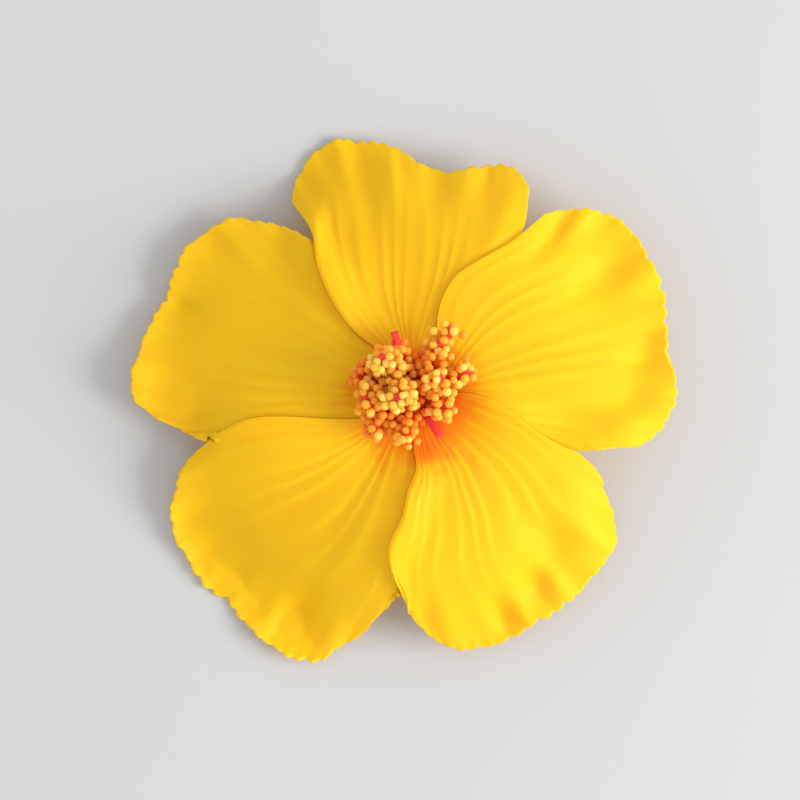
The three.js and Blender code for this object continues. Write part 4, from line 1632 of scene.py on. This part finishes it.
@dataclass
class Backing:
    """The foam hub, felt patch and glue between flower and clip, in millimetres."""

    hub_foam: bpy.types.Material
    felt: bpy.types.Material
    glue: bpy.types.Material
    hub_centre: tuple[float, float] = (2.2, 0.5)
    hub_radius: float = 11.0
    hub_low: float = 12.0
    hub_top: float = 13.5
    hub_hole: float = 3.75
    felt_radius: float = 16.0
    felt_low: float = 10.5
    felt_top: float = 12.0
    glue_low: float = 9.9
    glue_size: tuple[float, float] = (13.5, 6.5)

    def ring_profile(
        self, profile: Plan, centre: tuple[float, float], steps: int, closed: bool
    ) -> bmesh.types.BMesh:
        """Spins a radial profile about an upright axis.

        Args:
            profile: Radius and height of each point.
            centre: Where the axis stands.
            steps: Steps round the axis.
            closed: Whether the profile closes on itself, as a washer's does.

        Returns:
            The closed mesh.
        """
        shape = bmesh.new()
        verts = [shape.verts.new(Vector((radius, 0, height)) * MM) for radius, height in profile]
        edges = [shape.edges.new(pair) for pair in zip(verts, verts[1:])]
        if closed:
            edges.append(shape.edges.new((verts[-1], verts[0])))
        bmesh.ops.spin(
            shape, geom=[*verts, *edges], cent=(0, 0, 0), axis=(0, 0, 1), dvec=(0, 0, 0), angle=2 * math.pi,
            steps=steps, use_merge=True,
        )
        close_and_orient(shape)
        bmesh.ops.translate(shape, verts=shape.verts, vec=Vector((*centre, 0)) * MM)
        return shape

    def build_hub(self) -> bpy.types.Object:
        """Foam washer under the petals."""
        soft = 0.25
        inner, outer, low, top = self.hub_hole, self.hub_radius, self.hub_low + 0.02, self.hub_top - 0.02
        profile = [
            (inner, low), (outer - soft, low), (outer, low + soft),
            (outer, top - soft), (outer - soft, top), (inner, top),
        ]
        shape = self.ring_profile(profile, self.hub_centre, 72, True)
        name = "petal_hub_foam"
        return finish_piece(shape, name, Body.FLOWER, self.hub_foam, ["petal_hub"])

    def build_felt(self) -> bpy.types.Object:
        """Round felt patch with a slightly uneven cut edge."""
        shape = bmesh.new()
        radius = self.felt_radius * MM
        disc = bmesh.ops.create_circle(shape, cap_ends=True, radius=radius, segments=128)["verts"]
        bmesh.ops.translate(shape, verts=disc, vec=(0, 0, (self.felt_low + 0.05) * MM))
        for width in (0.35, 1.2, 3.2, 5.0):
            middle = max(shape.faces, key=lambda f: len(f.verts))
            bmesh.ops.inset_region(shape, faces=[middle], thickness=width * MM)
        grown = bmesh.ops.extrude_face_region(shape, geom=list(shape.faces))["geom"]
        lifted = [item for item in grown if isinstance(item, bmesh.types.BMVert)]
        thick = (self.felt_top - self.felt_low - 0.1) * MM
        bmesh.ops.translate(shape, verts=lifted, vec=(0, 0, thick))
        close_and_orient(shape)
        for vert in shape.verts:
            radius = vert.co.xy.length / MM
            if radius > self.felt_radius - 0.1:
                fray = 0.22 * noise.noise(vert.co * 900) + 0.16 * noise.noise(vert.co * 2600)
                vert.co.x *= 1 + fray / radius
                vert.co.y *= 1 + fray / radius
        piece = finish_piece(shape, "felt_patch", Body.FLOWER, self.felt, ["felt_backing"])
        add_bevel(piece, 0.3, 3, 50)
        return piece

    def build_glue(self) -> bpy.types.Object:
        """Lumpy bed of set glue between the clip and the felt."""
        low, top = self.glue_low + 0.02, self.felt_low + 0.03
        middle = (low + top) / 2
        profile = [(0.0, low), (0.8, low), (0.93, low + 0.05), (1.0, middle), (0.95, top), (0.0, top)]
        scaled = [(radius * 10, height) for radius, height in profile]
        shape = self.ring_profile(scaled, (0, 0), 96, False)
        for vert in shape.verts:
            lump = 1 + 0.05 * noise.noise(vert.co * 260) + 0.03 * noise.noise(vert.co * 900)
            vert.co.x = (vert.co.x * self.glue_size[0] / 10 - 0.5 * MM) * lump
            vert.co.y = vert.co.y * self.glue_size[1] / 10 * lump
        piece = finish_piece(shape, "glue_bed_melt", Body.FLOWER, self.glue, ["glue_bed"])
        soft = piece.modifiers.new("soft_lumps", "SUBSURF")
        soft.levels = soft.render_levels = 1
        return piece

    def build(self) -> None:
        """Builds hub, glue and felt."""
        self.build_hub()
        self.build_glue()
        self.build_felt()


# ---------------------------------------------------------------------------------------------- clip


@dataclass
class SpringClip:
    """The steel clip: two stamped jaws, the rivet they turn on and the torsion spring, in millimetres."""

    steel: bpy.types.Material
    wire: bpy.types.Material
    hinge_x: float = 6.0
    hinge_z: float = 6.6
    pin_radius: float = 0.75
    pin_half: float = 4.35
    head_radius: float = 1.25
    coil_radius: float = 1.65
    wire_radius: float = 0.4
    turns: float = 3.5
    pitch: float = 0.9

    def stamped(self, node: str, name: str, body: Body) -> bpy.types.Object:
        """Copies a stamped jaw, joins its faces and rounds its sheared edges.

        Args:
            node: The CAD node.
            name: The piece's name.
            body: What it rides on.

        Returns:
            The piece.
        """
        shape = bmesh.new()
        shape.from_mesh(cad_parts[node].data)
        bmesh.ops.remove_doubles(shape, verts=shape.verts, dist=2e-6)
        bmesh.ops.dissolve_limit(
            shape, angle_limit=math.radians(1.0), use_dissolve_boundaries=False,
            verts=shape.verts, edges=shape.edges,
        )
        piece = finish_piece(shape, name, body, self.steel, [node])
        add_bevel(piece, 0.12, 2, 30)
        return piece

    def build_pin(self) -> bpy.types.Object:
        """Rivet with domed heads, spun about the hinge axis."""
        shape = bmesh.new()
        reach, radius, head = self.pin_half - 0.25, self.pin_radius, self.head_radius
        half = [(radius, reach), (head - 0.06, reach), (head, reach + 0.1), (head * 0.9, reach + 0.34),
                (head * 0.6, reach + 0.46), (0.0, reach + 0.5)]
        profile = [(r, -y) for r, y in reversed(half)] + half
        verts = [shape.verts.new(Vector((r, y, 0)) * MM) for r, y in profile]
        edges = [shape.edges.new(pair) for pair in zip(verts, verts[1:])]
        bmesh.ops.spin(
            shape, geom=[*verts, *edges], cent=(0, 0, 0), axis=(0, 1, 0), dvec=(0, 0, 0), angle=2 * math.pi,
            steps=40, use_merge=True,
        )
        close_and_orient(shape)
        bmesh.ops.translate(shape, verts=shape.verts, vec=Vector((self.hinge_x, 0, self.hinge_z)) * MM)
        pin = finish_piece(shape, "hinge_rivet", Body.FLOWER, self.steel, ["hinge_pin"])
        add_bevel(pin, 0.05, 2, 40)
        return pin

    def build_spring(self) -> bpy.types.Object:
        """Torsion spring coiled round the hinge, with one leg along each jaw."""
        knots = [Vector((17, -1.6, 8.7)), Vector((12, -1.6, 8.62)), Vector((9, -1.6, 8.45))]
        steps = int(self.turns * 20)
        for i in range(steps + 1):
            angle = math.pi / 2 + 2 * math.pi * i / 20
            rise = -(self.turns * self.pitch) / 2 + self.pitch * i / 20
            knots.append(Vector((
                self.hinge_x + self.coil_radius * math.cos(angle), rise,
                self.hinge_z + self.coil_radius * math.sin(angle),
            )))
        knots += [Vector((x, 1.6, z)) for x, z in ((8, 4.75), (10, 4.4), (14, 3.62), (17, 2.95))]
        turns = [math.pi * k / 5 for k in range(10)]
        section = [(self.wire_radius * math.cos(turn), self.wire_radius * math.sin(turn)) for turn in turns]
        shape = bmesh.new()
        sweep(shape, section, along(knots, Vector((0, 1, 0))))
        close_and_orient(shape)
        name = "torsion_spring"
        spring = finish_piece(shape, name, Body.FLOWER, self.wire, ["clip_spring"])
        soft = spring.modifiers.new("round_wire", "SUBSURF")
        soft.levels = soft.render_levels = 1
        spring.parent = None
        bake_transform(spring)
        return spring

    def build(self) -> None:
        """Builds the four parts of the clip."""
        self.stamped("clip_plate", "clip_upper_jaw", Body.FLOWER)
        self.stamped("clip_lever", "clip_lower_jaw", Body.LEVER)
        self.build_pin()
        self.build_spring()


# -------------------------------------------------------------------------------------------- studio


@dataclass
class Studio:
    """Pale table, soft window-like light from the right and a camera straight above."""

    table: bpy.types.Material
    centre: tuple[float, float] = (-0.5, 0.0)
    height: float = 0.75
    view_width: float = 0.1624
    view_plane: float = 0.010

    def build_table(self) -> None:
        """Large plain table top."""
        shape = bmesh.new()
        bmesh.ops.create_grid(shape, x_segments=1, y_segments=1, size=3.0)
        mesh = bpy.data.meshes.new("table_top")
        shape.to_mesh(mesh)
        shape.free()
        floor = bpy.data.objects.new("table_top", mesh)
        mesh.materials.append(self.table)
        bpy.context.scene.collection.objects.link(floor)

    def add_light(
        self, name: str, place: tuple[float, float, float], size: float, power: float, colour: Colour
    ) -> None:
        """Adds a soft square light aimed at the flower.

        Args:
            name: The light's name.
            place: Where it stands, in metres.
            size: Its side, in metres.
            power: Its power in watts.
            colour: Its colour.
        """
        lamp = bpy.data.lights.new(name, "AREA")
        lamp.shape = "SQUARE"
        lamp.size = size
        lamp.energy = power
        lamp.color = colour[:3]
        holder = bpy.data.objects.new(name, lamp)
        aim = Vector(place).to_track_quat("Z", "Y").to_matrix().to_4x4()
        holder.matrix_world = Matrix.Translation(place) @ aim
        bpy.context.scene.collection.objects.link(holder)

    def build_camera(self) -> None:
        """Camera over the flower, long enough to keep it almost flat."""
        lens = bpy.data.cameras.new("view")
        lens.sensor_width = 36.0
        lens.lens = 36.0 * (self.height - self.view_plane) / self.view_width
        lens.clip_start = 0.01
        camera = bpy.data.objects.new("view", lens)
        camera.location = (self.centre[0] * MM, self.centre[1] * MM, self.height)
        bpy.context.scene.collection.objects.link(camera)
        bpy.context.scene.camera = camera

    def build_world(self) -> None:
        """Even pale surroundings."""
        world = bpy.data.worlds.new("soft_room")
        world.use_nodes = True
        background = world.node_tree.nodes["Background"]
        background.inputs[0].default_value = (0.94, 0.97, 1.0, 1.0)
        background.inputs[1].default_value = 1.04
        bpy.context.scene.world = world
        bpy.context.scene.view_settings.view_transform = "Standard"

    def build(self) -> None:
        """Sets up the whole studio."""
        self.build_camera()
        self.build_world()
        self.build_table()
        self.add_light("window", (0.90, -0.19, 0.54), 0.6, 13.2, (1.0, 0.985, 0.96, 1.0))


def main() -> None:
    """Builds every sub-assembly over the frame and the studio round it."""
    logging.basicConfig(level=logging.INFO, format="%(name)s: %(message)s")
    effects = SharedEffects()
    Studio(TableFinish().material()).build()
    corolla = Corolla(PetalFoamFinish().material(effects))
    for petal in PETALS:
        corolla.build(petal)
    # Each foam's third colour is painted shade in its open cells.
    red = CutFoamFinish(
        "red_foam", srgb(240, 60, 44), srgb(222, 42, 30), srgb(176, 20, 12), srgb(250, 110, 92)
    ).material(effects)
    hub = CutFoamFinish(
        "hub_foam", srgb(254, 198, 12), srgb(250, 186, 8), srgb(232, 160, 6), srgb(255, 214, 60)
    ).material(effects)
    Stamen(red, BeadFinish().material(effects)).build()
    Backing(hub, FeltFinish().material(effects), HotGlueFinish().material(effects)).build()
    wire = SteelFinish(
        "spring_wire", (0.42, 0.43, 0.45, 1.0), (0.33, 0.34, 0.36, 1.0), brushing=(300.0, 300.0, 3000.0),
        roughness=(0.26, 0.4),
    )
    SpringClip(SteelFinish("clip_steel").material(effects), wire.material(effects)).build()


if __name__ == "__main__":
    main()
